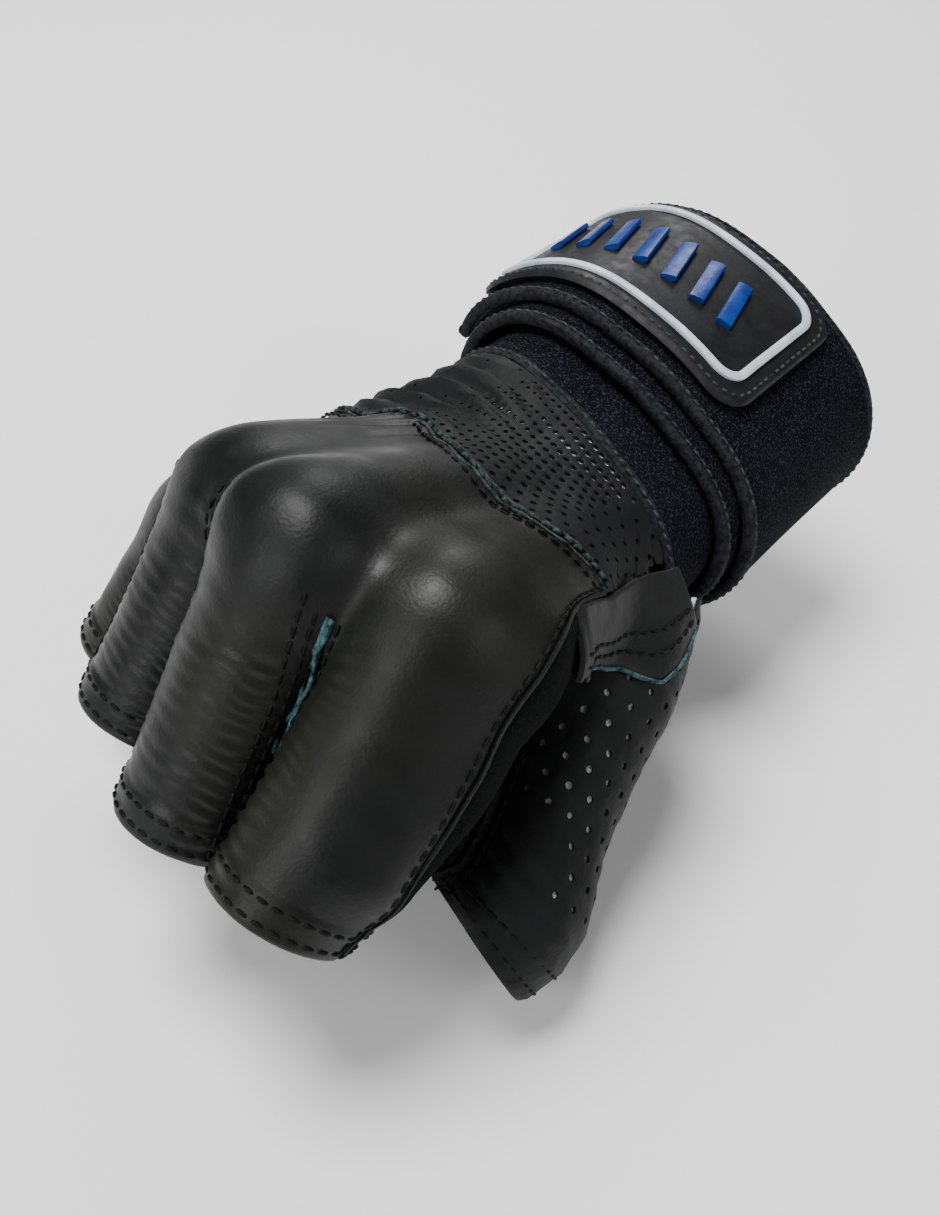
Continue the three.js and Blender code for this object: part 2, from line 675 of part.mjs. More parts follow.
const handLoops = [...steps(0, 1, 8).slice(0, -1), ...BEND_ROWS, ...steps(2, 2.9, 6).slice(1)].map((row) => {
  const back = FINGERS.flatMap((f, i) => steps(-1, 1, 6).slice(0, -1)
    .map((u) => joinedPoint(i, row, u, false, TRIM_LEVEL)));
  const front = FINGERS.flatMap((f, i) => steps(-1, 1, 6).slice(0, -1)
    .map((u) => joinedPoint(i, row, u, true, TRIM_LEVEL)));
  back.push(joinedPoint(3, row, 1, false, TRIM_LEVEL));
  return [...back, ...front.slice(1).reverse()];
});
const handSolid = toSolid(closedTube(handLoops));
const thumbLoops = steps(0, 3, 18).map((row) => steps(0, 360, 28).slice(0, -1)
  .map((deg) => thumbPoint(row, deg, TRIM_LEVEL)));
const thumbSolid = toSolid(closedTube(thumbLoops));
const WRIST_TRIM_LEVEL = 8;
const wristRing = steps(0, 360, 28).slice(0, -1);
const wristSolid = toSolid(closedTube([-CUFF_EDGE - GAP, CUFF_END].map((y, k) => wristRing
  .map((deg) => wristPoint(y, deg, WRIST_TRIM_LEVEL, 1 - k)))));

// Strip from the wrist to the web. Its edges are angles round the index line, and
// it lies on the hand and thumb together.
const unionForm = (p) => formDistance(p, [...handBones, ...thumbBones]);
const STRIP_ROWS = [
  { row: 0.02, low: 67 },
  { row: 0.2, low: 78 },
  { row: 0.42, low: 90 },
  { row: 0.65, low: 100 },
  { row: 0.9, low: 98 },
  { row: 1.15, low: 90 },
];
const STRIP_TRIM_DEPTH = 4;
function stripSolid(margin, lowLevel, highLevel) {
  const cols = steps(0, 1, 4);
  const at = (r, c, level) => {
    const end = r === STRIP_ROWS[0] ? -1 : Number(r === STRIP_ROWS[STRIP_ROWS.length - 1]);
    const row = Math.max(r.row + end * margin * 0.02, 0);
    const top = sideAngle(0, -1, false, row);
    const angle = -rad(mix(top - margin * 2, r.low + margin * 2, c));
    const f = fingerFrame(0, row);
    const dir = f.n.clone().multiplyScalar(Math.cos(angle)).addScaledVector(f.l, -Math.sin(angle));
    return castRay(f.o, dir, level, unionForm);
  };
  return thickSheet([patch(STRIP_ROWS, cols, (r, c) => at(r, c, highLevel), (r, c) => at(r, c, lowLevel))]);
}
const stripTrim = toSolid(
  stripSolid(1, GLOVE_LEVEL - LEATHER - STRIP_TRIM_DEPTH, GLOVE_LEVEL + STRIP_TRIM_DEPTH));
addPiece('thumb_strip', toGeometry(stripSolid(0, GLOVE_LEVEL - LEATHER, GLOVE_LEVEL)), 'smoothLeather');

addPiece('palm_suede',
  solidGeometry(toSolid(thickSheet(palmPatches())).subtract(thumbSolid).subtract(stripTrim)), 'suede');

// Round holes through a pierced sheet, in rows set half a pitch apart
function pierce(solid, places) {
  const drills = places.map(({ top, bottom, side }) => {
    const axis = top.clone().sub(bottom).normalize();
    const e = side.clone().addScaledVector(axis, -side.dot(axis)).normalize();
    const g = axis.clone().cross(e);
    const loop = (p) => steps(0, 360, HOLE_SIDES).slice(0, -1).map((deg) => p.clone()
      .addScaledVector(e, HOLE_RADIUS * Math.cos(rad(deg)))
      .addScaledVector(g, HOLE_RADIUS * Math.sin(rad(deg))));
    return toSolid(closedTube([loop(along(top, axis, 1)), loop(along(bottom, axis, -GAP / 2))]));
  });
  return drills.reduce((left, drill) => left.subtract(drill), solid);
}
function backHoles() {
  const places = [];
  const holes = BACK_HOLES;
  for (let i = 0; i < FINGERS.length; i += 1) {
    for (let c = 0; c < holes.across; c += 1) {
      for (let r = 0; r < holes.along; r += 1) {
        const u = -1 + (2 * (c + 0.5 + ((r % 2) - 0.5) * holes.stagger)) / holes.across;
        const row = (r + holes.first) * holes.pitch * seamRow(i, u);
        const top = shellPoint(i, row, u, false, GLOVE_LEVEL);
        const bottom = shellPoint(i, row, u, false, GLOVE_LEVEL - PIERCED_LEATHER);
        places.push({ top, bottom, side: fingerFrame(i, row).t });
      }
    }
  }
  return places;
}
const pierceTop = GLOVE_LEVEL - PIERCED_LEATHER - GAP;
const backSheet = toSolid(thickSheet(pierceBackPatches(GLOVE_LEVEL, PIERCED_LEATHER, 4)));
const trimmedBack = backSheet.subtract(thumbSolid).subtract(stripTrim);
addPiece('perforated_back', solidGeometry(pierce(trimmedBack, backHoles())), 'pierced');
const liningSheet = toSolid(thickSheet(pierceBackPatches(pierceTop, LINING, 4)));
const trimmedLining = liningSheet.subtract(thumbSolid).subtract(stripTrim);
addPiece('back_lining', solidGeometry(trimmedLining), 'greyCloth');

// Thumb sheets: angles round the thumb from the middle of its back
const THUMB_ROWS = [...steps(0.1, 1, 4), ...steps(1, 2, 4).slice(1), ...steps(2, 3, 2).slice(1)];
const THUMB_SEAM = { outer: -100, inner: 80 };
function thumbSheet(from, to, count, top, thickness) {
  const p = patch(THUMB_ROWS, steps(from, to, count),
    (row, deg) => thumbPoint(row, deg, top),
    (row, deg) => thumbPoint(row, deg, top - thickness));
  return toSolid(thickSheet([p])).subtract(handSolid).subtract(wristSolid).subtract(stripTrim);
}
function thumbHoles() {
  const places = [];
  const holes = THUMB_HOLES;
  for (let r = 0; r < holes.along; r += 1) {
    for (let c = 0; c < holes.across; c += 1) {
      const row = holes.first + r * holes.pitch;
      const deg = mix(holes.from, holes.to, (c + (r % 2) * holes.stagger) / (holes.across - holes.stagger));
      places.push({
        top: thumbPoint(row, deg, GLOVE_LEVEL),
        bottom: thumbPoint(row, deg, GLOVE_LEVEL - PIERCED_LEATHER),
        side: thumbFrame(row).t,
      });
    }
  }
  return places;
}
const thumbOutside = thumbSheet(THUMB_SEAM.outer, THUMB_SEAM.inner, 8, GLOVE_LEVEL, PIERCED_LEATHER);
addPiece('thumb_perforated', solidGeometry(pierce(thumbOutside, thumbHoles())), 'pierced');
addPiece('thumb_lining', solidGeometry(thumbSheet(THUMB_SEAM.outer, THUMB_SEAM.inner, 8, pierceTop, LINING)),
  'greyCloth');
const thumbInside = thumbSheet(THUMB_SEAM.inner, THUMB_SEAM.outer + 360, 8, GLOVE_LEVEL, LEATHER);
addPiece('thumb_suede', solidGeometry(thumbInside), 'suede');

// Cuff and its bound edge
const RING = steps(0, 360, 24);
const cuffRow = (r) => mix(-CUFF_EDGE + BINDING_WIDTH + GAP, CUFF_END, r);
addPiece('cuff', toGeometry(thickSheet([patch([0, 0.4, 1], RING,
  (r, deg) => wristPoint(cuffRow(r), deg, CUFF_LEVEL + VELOUR, 1 - r),
  (r, deg) => wristPoint(cuffRow(r), deg, CUFF_LEVEL, 1 - r))])), 'velour');
addPiece('cuff_binding', toGeometry(thickSheet([patch([0, 1], RING,
  (r, deg) => wristPoint(-CUFF_EDGE + r * BINDING_WIDTH, deg, CUFF_LEVEL + VELOUR + BINDING_PROUD, 1),
  (r, deg) => wristPoint(-CUFF_EDGE + r * BINDING_WIDTH, deg, CUFF_LEVEL - BINDING_PROUD / 2, 1))])),
'binding');

// Wrist wrap: a spiral round the cuff. share is 0 at the sewn start and 1 at the tip.
const STRAP_PITCH = STRAP_THICKNESS + STRAP_SPACING;
const STRAP_BASE = CUFF_LEVEL + VELOUR + STRAP_SPACING;
function strapPoint(share, width, over) {
  const deg = STRAP_TIP_ANGLE - 360 * STRAP_TURNS * (1 - share);
  const y = -STRAP_START + STRAP_DRIFT * STRAP_TURNS * share + width * STRAP_WIDTH;
  const lift = STRAP_TIP_LIFT * smooth((share - 1 + STRAP_TIP_SHARE) / STRAP_TIP_SHARE);
  return wristPoint(y, deg, STRAP_BASE + STRAP_PITCH * STRAP_TURNS * share + lift + over);
}
const STRAP_STEPS = 37;
function strapSheet(fromWidth, toWidth, low, high, count) {
  return toGeometry(thickSheet([patch(steps(fromWidth, toWidth, count), steps(0, 1, STRAP_STEPS),
    (w, share) => strapPoint(share, w, high), (w, share) => strapPoint(share, w, low))]));
}
const EDGE = BINDING_WIDTH / STRAP_WIDTH;
const EDGE_GAP = GAP / STRAP_WIDTH;
addPiece('wrist_strap', strapSheet(EDGE + EDGE_GAP, 1 - EDGE - EDGE_GAP, 0, STRAP_THICKNESS, 2), 'velour');
[['strap_binding_hand', 0], ['strap_binding_arm', 1 - EDGE]].forEach(([name, from]) => {
  const high = STRAP_THICKNESS + STRAP_BINDING_PROUD;
  addPiece(name, strapSheet(from, from + EDGE, -STRAP_BINDING_PROUD, high, 1), 'binding');
});

// Places on the wrap by length: a runs back from the tip, w across from its middle
const strapLengths = [0];
const SAMPLES = 240;
for (let k = 1; k <= SAMPLES; k += 1) {
  const p = strapPoint(1 - (k - 1) / SAMPLES, 0.5, STRAP_THICKNESS);
  const q = strapPoint(1 - k / SAMPLES, 0.5, STRAP_THICKNESS);
  strapLengths.push(strapLengths[k - 1] + p.distanceTo(q));
}
function badgePoint(a, w, over) {
  let k = 0;
  while (k < SAMPLES - 1 && strapLengths[k + 1] < a) k += 1;
  const part = (a - strapLengths[k]) / (strapLengths[k + 1] - strapLengths[k]);
  return strapPoint(1 - (k + part) / SAMPLES, 0.5 + w / STRAP_WIDTH, STRAP_THICKNESS + GAP + over);
}
// Half width of a rounded plate at a distance from its end
function plateHalf(a, length, width, corner) {
  const near = Math.max(corner - Math.min(a, length - a), 0);
  return width / 2 - corner + Math.sqrt(Math.max(corner * corner - near * near, 0));
}
function plateColumns(length, corner) {
  const round = [0, 0.12, 0.4, 1].map((k) => k * corner);
  const middle = steps(corner, length - corner, 8).slice(1, -1);
  return [...round, ...middle, ...round.map((c) => length - c).reverse()];
}
const BADGE_BASE = STRAP_BINDING_PROUD;
const BADGE_TOP = BADGE_BASE + BADGE_THICKNESS;
const plateAt = (v, a, over) => badgePoint(BADGE_FROM_TIP + a,
  v * plateHalf(a, BADGE_LENGTH, BADGE_WIDTH, BADGE_CORNER), over);
addPiece('badge_plate', toGeometry(thickSheet([patch(steps(-1, 1, 2), plateColumns(BADGE_LENGTH, BADGE_CORNER),
  (v, a) => plateAt(v, a, BADGE_TOP), (v, a) => plateAt(v, a, BADGE_BASE))])), 'rubber');

// Raised frame line round the plate, as a closed band
function frameLoop(inset) {
  const length = BADGE_LENGTH - 2 * inset;
  const width = BADGE_WIDTH - 2 * inset;
  const corner = Math.max(BADGE_CORNER - inset, 1);
  const near = plateColumns(length, corner);
  const side = (sign) => near.map((a) => [a + inset, sign * plateHalf(a, length, width, corner)]);
  return [...side(1), ...side(-1).reverse()];
}
const FRAME_BASE = BADGE_TOP + GAP;
function frameBand() {
  const loops = [frameLoop(FRAME_INSET), frameLoop(FRAME_INSET + FRAME_WIDTH)];
  const count = loops[0].length;
  const at = (k, c, over) => {
    const [a, w] = loops[k][c % count];
    return badgePoint(BADGE_FROM_TIP + a, w, over);
  };
  const cols = Array.from({ length: count + 1 }, (_, c) => c);
  return patch([0, 1], cols, (k, c) => at(k, c, FRAME_BASE + FRAME_HEIGHT), (k, c) => at(k, c, FRAME_BASE));
}
addPiece('badge_frame', toGeometry(thickSheet([frameBand()])), 'silver');

// Plain slanting grip ribs in a row along the plate
for (let k = 0; k < RIB_COUNT; k += 1) {
  const room = BADGE_LENGTH - 2 * (FRAME_INSET + FRAME_WIDTH) - 2 * RIB_WIDTH - RIB_LEAN;
  const a = FRAME_INSET + FRAME_WIDTH + RIB_WIDTH / 2 + (room * (k + 0.5)) / RIB_COUNT + RIB_WIDTH / 2;
  const place = (v, c) => BADGE_FROM_TIP + a + c * RIB_WIDTH - v * RIB_LEAN;
  const at = (v, c, over) => badgePoint(place(v, c), v * RIB_LENGTH, over);
  addPiece(`badge_rib_${k + 1}`, toGeometry(thickSheet([patch([-0.5, 0.5], [-0.5, 0.5],
    (v, c) => at(v, c, FRAME_BASE + RIB_HEIGHT), (v, c) => at(v, c, FRAME_BASE))])), 'blueRubber');
}

export default glove;
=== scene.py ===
"""Dresses the weightlifting glove: sewn leather sheets, seams, wrist wrap and badge."""

import logging
import math
from dataclasses import dataclass, field
from enum import Enum
from typing import Callable, Optional, Sequence

import bmesh
import bpy
import numpy as np
from mathutils import Matrix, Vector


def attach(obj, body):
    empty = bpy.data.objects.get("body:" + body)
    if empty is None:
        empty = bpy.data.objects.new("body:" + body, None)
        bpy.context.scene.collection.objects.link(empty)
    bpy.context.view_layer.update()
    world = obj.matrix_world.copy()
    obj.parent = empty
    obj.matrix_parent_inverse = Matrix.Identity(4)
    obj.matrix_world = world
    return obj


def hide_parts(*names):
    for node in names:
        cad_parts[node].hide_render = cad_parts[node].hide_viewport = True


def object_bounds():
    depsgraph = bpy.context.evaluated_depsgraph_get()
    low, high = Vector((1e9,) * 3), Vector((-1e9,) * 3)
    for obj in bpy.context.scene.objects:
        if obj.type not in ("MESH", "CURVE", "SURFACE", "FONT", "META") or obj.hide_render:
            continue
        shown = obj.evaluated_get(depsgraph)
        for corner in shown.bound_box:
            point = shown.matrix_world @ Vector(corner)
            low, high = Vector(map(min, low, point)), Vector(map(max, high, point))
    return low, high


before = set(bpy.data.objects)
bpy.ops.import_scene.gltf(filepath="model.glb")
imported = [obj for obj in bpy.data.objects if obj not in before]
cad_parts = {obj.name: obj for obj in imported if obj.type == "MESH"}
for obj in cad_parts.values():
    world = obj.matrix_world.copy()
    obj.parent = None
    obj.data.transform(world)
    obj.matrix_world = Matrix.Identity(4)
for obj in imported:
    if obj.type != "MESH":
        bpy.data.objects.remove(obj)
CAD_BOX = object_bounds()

log = logging.getLogger("glove")
MM = 0.001
Array = np.ndarray

# Sizes shared with the solids, in millimetres and degrees
PALM_LENGTH, KNUCKLE_HEIGHT, KNUCKLE_SPAN = 88, 27, 58
FINGER_RADIUS, STALL_LENGTH, KNUCKLE_BEND_RADIUS = 9.6, 50, 17
BLEND, PRESS_ROUND = 2.2, 1.5
WRIST_HALF_WIDTH, WRIST_HALF_DEPTH, WRIST_SIDE_GIRTH, WRIST_ROLL = 29.5, 18, 0.9, -17
THUMB_RADIUS, THUMB_LENGTH = 9.8, 90
LEATHER, KNIT, LINING, VELOUR = 1.4, 1.0, 1.0, 1.8
HEM_WIDTH, GAP, GLOVE_LEVEL = 7, 0.36, 2.6
CUFF_EDGE, CUFF_SLANT, CUFF_END, CUFF_LEVEL = 23, 9, 42, 0.3
KNIT_END, PALM_EDGE = 113, 118
INDEX_EDGE, INDEX_CREASE, INDEX_HEM_EDGE, LITTLE_SIDE = 63, 58, 80, 104
SEAM_FALL = 0.17
BEND_STEPS = 6
PAST_STALL, WRIST_ROOT, ROOT_GIRTH, WEB_DROP = 15, -6, 1.3, -10


@dataclass(frozen=True)
class Finger:
    """One finger's place and girth, as shares of the named sizes."""

    across: float
    along: float
    up: float
    girth: float
    tip: float
    stall: float
    drop: float
    turn: float
    start: float
    seam: float


FINGERS = (
    Finger(0.35, 0.94, 0.86, 1.02, 1.01, 1.0, 47, 1, 0.42, 0.8),
    Finger(-0.06, 1.0, 1.0, 1.0, 1.0, 1.0, 58, 5.6, 0.12, 0.7),
    Finger(-0.385, 0.92, 0.67, 0.93, 0.92, 0.85, 57, -2, -0.2, 0.59),
    Finger(-0.655, 0.85, -0.04, 0.82, 0.82, 0.64, 60, -17, -0.5, 0.58),
)
# Slits between fingers: the step of the bend where each begins, and its opening
SLIT_STEP = np.array([5.0, 4.0, 4.0])
SLIT_OPENING = np.array([0.4, 0.5, 0.34])
# Angles where the back leather ends at a slit: on the near finger and on the next
BACK_EDGE = np.array([[75.0, 78.0], [83.0, 76.0], [66.0, 64.0]])
# Thumb joints: x, y and z as shares of the thumb length, and the girth's share
THUMB_JOINTS = np.array([
    [0.2, -0.13, -0.01, 1.25],
    [0.33, -0.53, -0.12, 1.1],
    [0.46, -0.9, -0.345, 0.97],
    [0.435, -0.975, -0.385, 0.94],
])
THUMB_OPENING_DIR = (-0.3, -0.85, -0.43)
THUMB_BACK = (0.7, 0.1, 0.7)


def unit(v: Array) -> Array:
    """Vectors at length one along the last axis.

    Args:
        v: Vectors.

    Returns:
        The vectors at length one.
    """
    v = np.asarray(v, float)
    return v / np.maximum(np.linalg.norm(v, axis=-1, keepdims=True), 1e-12)


def smooth(t: Array) -> Array:
    """Smooth step from 0 to 1.

    Args:
        t: Value, 0 to 1 over the step.

    Returns:
        Share from 0 to 1.
    """
    t = np.clip(t, 0, 1)
    return t * t * (3 - 2 * t)


def mix(a: Array, b: Array, t: Array) -> Array:
    """Value between a and b at share t.

    Args:
        a: Value at share 0.
        b: Value at share 1.
        t: Share of b.

    Returns:
        The mixed value.
    """
    return a + (np.asarray(b) - a) * t


def across(n: Array, t: Array) -> Array:
    """Unit vectors square to n and t.

    Args:
        n: First directions.
        t: Second directions.

    Returns:
        Unit vectors square to both.
    """
    return unit(np.cross(n, t))


def grain(p: Array, cell: float, seed: int) -> Array:
    """Smooth lattice noise from -1 to 1.

    Args:
        p: points in millimetres, one per row.
        cell: size of one lattice cell in millimetres.
        seed: number that picks the pattern.

    Returns:
        One value per point.
    """
    q = p / cell
    base = np.floor(q).astype(np.int64)
    f = q - base
    w = f * f * (3 - 2 * f)
    total = np.zeros(len(p))
    for dx in (0, 1):
        for dy in (0, 1):
            for dz in (0, 1):
                n = (base[:, 0] + dx) * 73856093 ^ (base[:, 1] + dy) * 19349663
                n ^= (base[:, 2] + dz) * 83492791 ^ seed * 2654435761
                n = ((n ^ (n >> 13)) * 1274126177) & 0x7FFFFFFF
                n = ((n ^ (n >> 15)) * 97531) & 0x7FFFFFFF
                share = np.where(dx, w[:, 0], 1 - w[:, 0])
                share = share * np.where(dy, w[:, 1], 1 - w[:, 1])
                share = share * np.where(dz, w[:, 2], 1 - w[:, 2])
                total += share * (n / 0x3FFFFFFF - 1)
    return total


@dataclass(frozen=True)
class Bone:
    """Tapered capsule of the hand's form."""

    a: Array
    b: Array
    ra: float
    rb: float
    finger: int = -1

    def distance(self, p: Array) -> Array:
        """Distance from points to the capsule's surface.

        Args:
            p: Points in millimetres.

        Returns:
            Distance at each point.
        """
        ab = self.b - self.a
        t = np.clip((p - self.a) @ ab / (ab @ ab), 0, 1)
        return np.linalg.norm(p - self.a - t[:, None] * ab, axis=1) - (self.ra + (self.rb - self.ra) * t)


def form_distance(p: Array, bones: Sequence[Bone]) -> Array:
    """Smoothly joined distance from points to many bones.

    Args:
        p: Points in millimetres.
        bones: Bones of the form.

    Returns:
        Distance at each point.
    """
    d = np.stack([b.distance(p) for b in bones])
    least = d.min(0)
    return least - BLEND * np.log(np.exp((least - d) / BLEND).sum(0))


def smooth_max(a: Array, b: Array, k: float) -> Array:
    """Rounded larger-of two distances.

    Args:
        a: First distance.
        b: Second distance.
        k: Width of the rounding.

    Returns:
        The larger distance, rounded.
    """
    h = np.maximum(k - np.abs(a - b), 0) / k
    return np.maximum(a, b) + h * h * k * 0.25


def cast(o: Array, d: Array, level: Array, distance: Callable[[Array], Array]) -> Array:
    """First point along each ray where a distance reaches a level.

    Args:
        o: ray starts.
        d: unit directions.
        level: level to reach, one value or one per ray.
        distance: distance function of the form.

    Returns:
        The points reached.
    """
    t = np.zeros(len(o))
    for _ in range(34):
        short = level - distance(o + d * t[:, None])
        t = np.clip(t + short * 0.95, -60, 90)
        if np.abs(short).max() < 2e-3:
            break
    return o + d * t[:, None]


class Hand:
    """Form of the closed hand that every sheet is laid on."""

    def __init__(self) -> None:
        """Sets up bones, finger lines and the planes between stalls.

        Returns:
            None.
        """
        roll = math.radians(WRIST_ROLL)
        slant = math.radians(CUFF_SLANT)
        self.wrist_side = np.array([math.cos(roll), 0, math.sin(roll)])
        self.wrist_up = np.array([-math.sin(roll), 0, math.cos(roll)])
        self.cuff_dir = np.array([-math.sin(slant), -math.cos(slant), 0])
        self.slope = self.cuff_dir[0] / -self.cuff_dir[1]
        self.lines = [self._line(f) for f in FINGERS]
        self.bones = self._hand_bones()
        self.own = [[b for b in self.bones if b.finger == i] for i in range(4)]
        self.dividers = [self._divider(k) for k in range(3)]
        self.thumb_points = THUMB_JOINTS[:, :3] * THUMB_LENGTH
        self.thumb_bones = self._thumb_bones()
        self.table = [self._frames(i) for i in range(4)]

    def _line(self, f: Finger) -> dict:
        """Bone line of one finger: start, knuckle, end, directions and setback.

        Args:
            f: The finger.

        Returns:
            The line's places and directions.
        """
        knuckle = np.array([f.across * KNUCKLE_SPAN, -f.along * PALM_LENGTH, f.up * KNUCKLE_HEIGHT])
        start = self.wrist_side * f.start * WRIST_HALF_WIDTH
        start[1] = -CUFF_EDGE - GAP + self.slope * start[0]
        drop, turn = math.radians(f.drop), math.radians(f.turn)
        stall = np.array([math.sin(turn) * math.cos(drop), -math.cos(turn) * math.cos(drop), -math.sin(drop)])
        hand = unit(knuckle - start)
        half = math.acos(np.clip(hand @ stall, -1, 1)) / 2
        return {"start": start, "knuckle": knuckle, "end": knuckle + stall * f.stall * STALL_LENGTH,
                "hand": hand, "stall": stall, "side": unit(np.cross(hand, stall)), "half": half,
                "setback": KNUCKLE_BEND_RADIUS * math.tan(half)}

    def _hand_bones(self) -> list:
        """Bones of wrist, palm, fingers and the flesh beside them.

        Returns:
            The bones.
        """
        bones = []
        for s in (-1, 0, 1):
            r = WRIST_HALF_DEPTH * (1 if s == 0 else WRIST_SIDE_GIRTH) - BLEND / 2
            shift = self.wrist_side * s * (WRIST_HALF_WIDTH - WRIST_HALF_DEPTH * WRIST_SIDE_GIRTH)
            a, b = shift.copy(), shift.copy()
            a[1], b[1] = -CUFF_EDGE, CUFF_END * 3
            bones.append(Bone(a, b, r, r))
        for i, (line, f) in enumerate(zip(self.lines, FINGERS)):
            rk, rt = f.girth * FINGER_RADIUS, f.tip * FINGER_RADIUS
            bones.append(Bone(line["start"] + line["hand"] * WRIST_ROOT, line["knuckle"], rk * ROOT_GIRTH, rk, i))
            bones.append(Bone(line["knuckle"], line["end"] + line["stall"] * PAST_STALL, rk, rt, i))
        first, ring, little = self.lines[0], self.lines[2], self.lines[3]
        bones.append(Bone(first["knuckle"] + (7, 6, -8),
                          mix(first["knuckle"], first["end"], 0.75) + (6.5, 2, 1), 10, 7, 0))
        bones.append(Bone(mix(first["start"], first["knuckle"], 0.55) + (5, 0, -4),
                          first["knuckle"] + (3, 8, -8), 9, 8.5, 0))
        heel = mix(little["start"], little["knuckle"], 0.45)
        bones.append(Bone(heel + (1, 6, -2), heel + (-3, -12, -4), 11.5, 9.5, 3))
        bones.append(Bone(mix(ring["start"], ring["knuckle"], 0.88) + (0, 2, -2),
                          mix(little["start"], little["knuckle"], 0.9) + (0, 2, -2), 9, 8))
        return bones

    def _thumb_bones(self) -> list:
        """Bones of the thumb and the flesh of its root.

        Returns:
            The bones.
        """
        p, r = self.thumb_points, THUMB_JOINTS[:, 3] * THUMB_RADIUS
        bones = [Bone(p[k], p[k + 1], r[k], r[k + 1]) for k in range(3)]
        bones.append(Bone(p[3], p[3] + unit(THUMB_OPENING_DIR) * PAST_STALL, r[3], r[3]))
        web = mix(self.lines[0]["start"], self.lines[0]["knuckle"], 0.5) + (0, 0, WEB_DROP)
        bones.append(Bone(web, mix(p[0], p[1], 0.8), THUMB_RADIUS, THUMB_RADIUS))
        return bones

    def _divider(self, k: int) -> tuple:
        """Plane between the stalls of finger k and the next: point and normal.

        Args:
            k: Number of the slit, 0 beside the index finger.

        Returns:
            Point and normal.
        """
        a, b = self.lines[k], self.lines[k + 1]
        low, high = mix(a["knuckle"], a["end"], 0.5), mix(b["knuckle"], b["end"], 0.5)
        d = unit(a["stall"] + b["stall"])
        normal = high - low
        return mix(low, high, 0.5), unit(normal - d * (normal @ d))

    def hand(self, p: Array) -> Array:
        """Distance to the joined hand.

        Args:
            p: Points in millimetres.

        Returns:
            Distance at each point.
        """
        return form_distance(p, self.bones)

    def thumb(self, p: Array) -> Array:
        """Distance to the thumb.

        Args:
            p: Points in millimetres.

        Returns:
            Distance at each point.
        """
        return form_distance(p, self.thumb_bones)

    def both(self, p: Array) -> Array:
        """Distance to hand and thumb together.

        Args:
            p: Points in millimetres.

        Returns:
            Distance at each point.
        """
        return form_distance(p, self.bones + self.thumb_bones)

    def stall(self, p: Array, i: int) -> Array:
        """Distance to one finger, pressed flat at the planes to its neighbours.

        Args:
            p: Points in millimetres.
            i: Number of the finger, 0 for the index finger.

        Returns:
            Distance at each point.
        """
        d = form_distance(p, self.own[i])
        press = GAP / 2 + GLOVE_LEVEL
        if i < 3:
            point, normal = self.dividers[i]
            d = smooth_max(d, (p - point) @ normal + press, PRESS_ROUND)
        if i > 0:
            point, normal = self.dividers[i - 1]
            d = smooth_max(d, -(p - point) @ normal + press, PRESS_ROUND)
        return d

    def _frames(self, i: int) -> Array:
        """Table of places and axes along one finger's line, 100 to a row.

        Args:
            i: Number of the finger, 0 for the index finger.

        Returns:
            One row for each place.
        """
        return np.array([np.concatenate(self._frame(i, k / 100)) for k in range(301)])

    def _frame(self, i: int, row: float) -> tuple:
        """Place, tangent, back and side axes at one row of a finger's line.

        Args:
            i: Number of the finger, 0 for the index finger.
            row: Row along the stall.

        Returns:
            Places and axes.
        """
        line = self.lines[i]
        bend_start = line["knuckle"] - line["hand"] * line["setback"]
        bend_end = line["knuckle"] + line["stall"] * line["setback"]
        up = unit(np.cross(line["side"], line["hand"]))
        up = -up if up[2] < 0 else up
        if row <= 1:
            t = unit(mix(self.cuff_dir, line["hand"], smooth(row)))
            n = mix(self.wrist_up, up, smooth(row))
            n = unit(n - t * (n @ t))
            o = mix(line["start"], bend_start, row)
        else:
            angle = (min(row, 2) - 1) * 2 * line["half"]
            n = up * math.cos(angle) + line["hand"] * math.sin(angle)
            t = line["hand"] * math.cos(angle) - up * math.sin(angle)
            o = bend_start - up * KNUCKLE_BEND_RADIUS + n * KNUCKLE_BEND_RADIUS
            if row > 2:
                o = mix(bend_end, line["end"], row - 2)
        return o, t, n, across(n, t)

    def frames(self, i: int, row: Array) -> tuple:
        """Places and axes at many rows of one finger's line.

        Args:
            i: Number of the finger, 0 for the index finger.
            row: Row along the stall.

        Returns:
            Places and axes.
        """
        x = np.clip(np.asarray(row, float), 0, 3) * 100
        k = np.minimum(x.astype(int), 299)
        f = self.table[i][k] + (self.table[i][k + 1] - self.table[i][k]) * (x - k)[:, None]
        return f[:, :3], unit(f[:, 3:6]), unit(f[:, 6:9]), unit(f[:, 9:12])

    def slit_share(self, k: int, row: Array) -> Array:
        """Share of a slit's opening at a row.

        Args:
            k: Number of the slit, 0 beside the index finger.
            row: Row along the stall.

        Returns:
            Share at each place.
        """
        return smooth((row - 1 - SLIT_STEP[k] / BEND_STEPS) / SLIT_OPENING[k])

    def side_angle(self, i: int, side: int, palm: bool, row: Array) -> Array:
        """Angle where a sheet ends at one side of a finger.

        Args:
            i: Number of the finger, 0 for the index finger.
            side: Side of the finger.
            palm: Whether the palm's side is meant.
            row: Row along the stall.

        Returns:
            The angle at each row.
        """
        if i == 0 and side < 0:
            early = mix(INDEX_EDGE, INDEX_CREASE, smooth(row / 0.7))
            late = mix(INDEX_CREASE, INDEX_HEM_EDGE, smooth((row - 1) / 1.1))
            return np.where(row < 1, early, late)
        if i == 3 and side > 0:
            return np.full(len(row), float(LITTLE_SIDE))
        edge = BACK_EDGE[i, 0] if side > 0 else BACK_EDGE[i - 1, 1]
        return np.full(len(row), float(PALM_EDGE) if palm else edge)

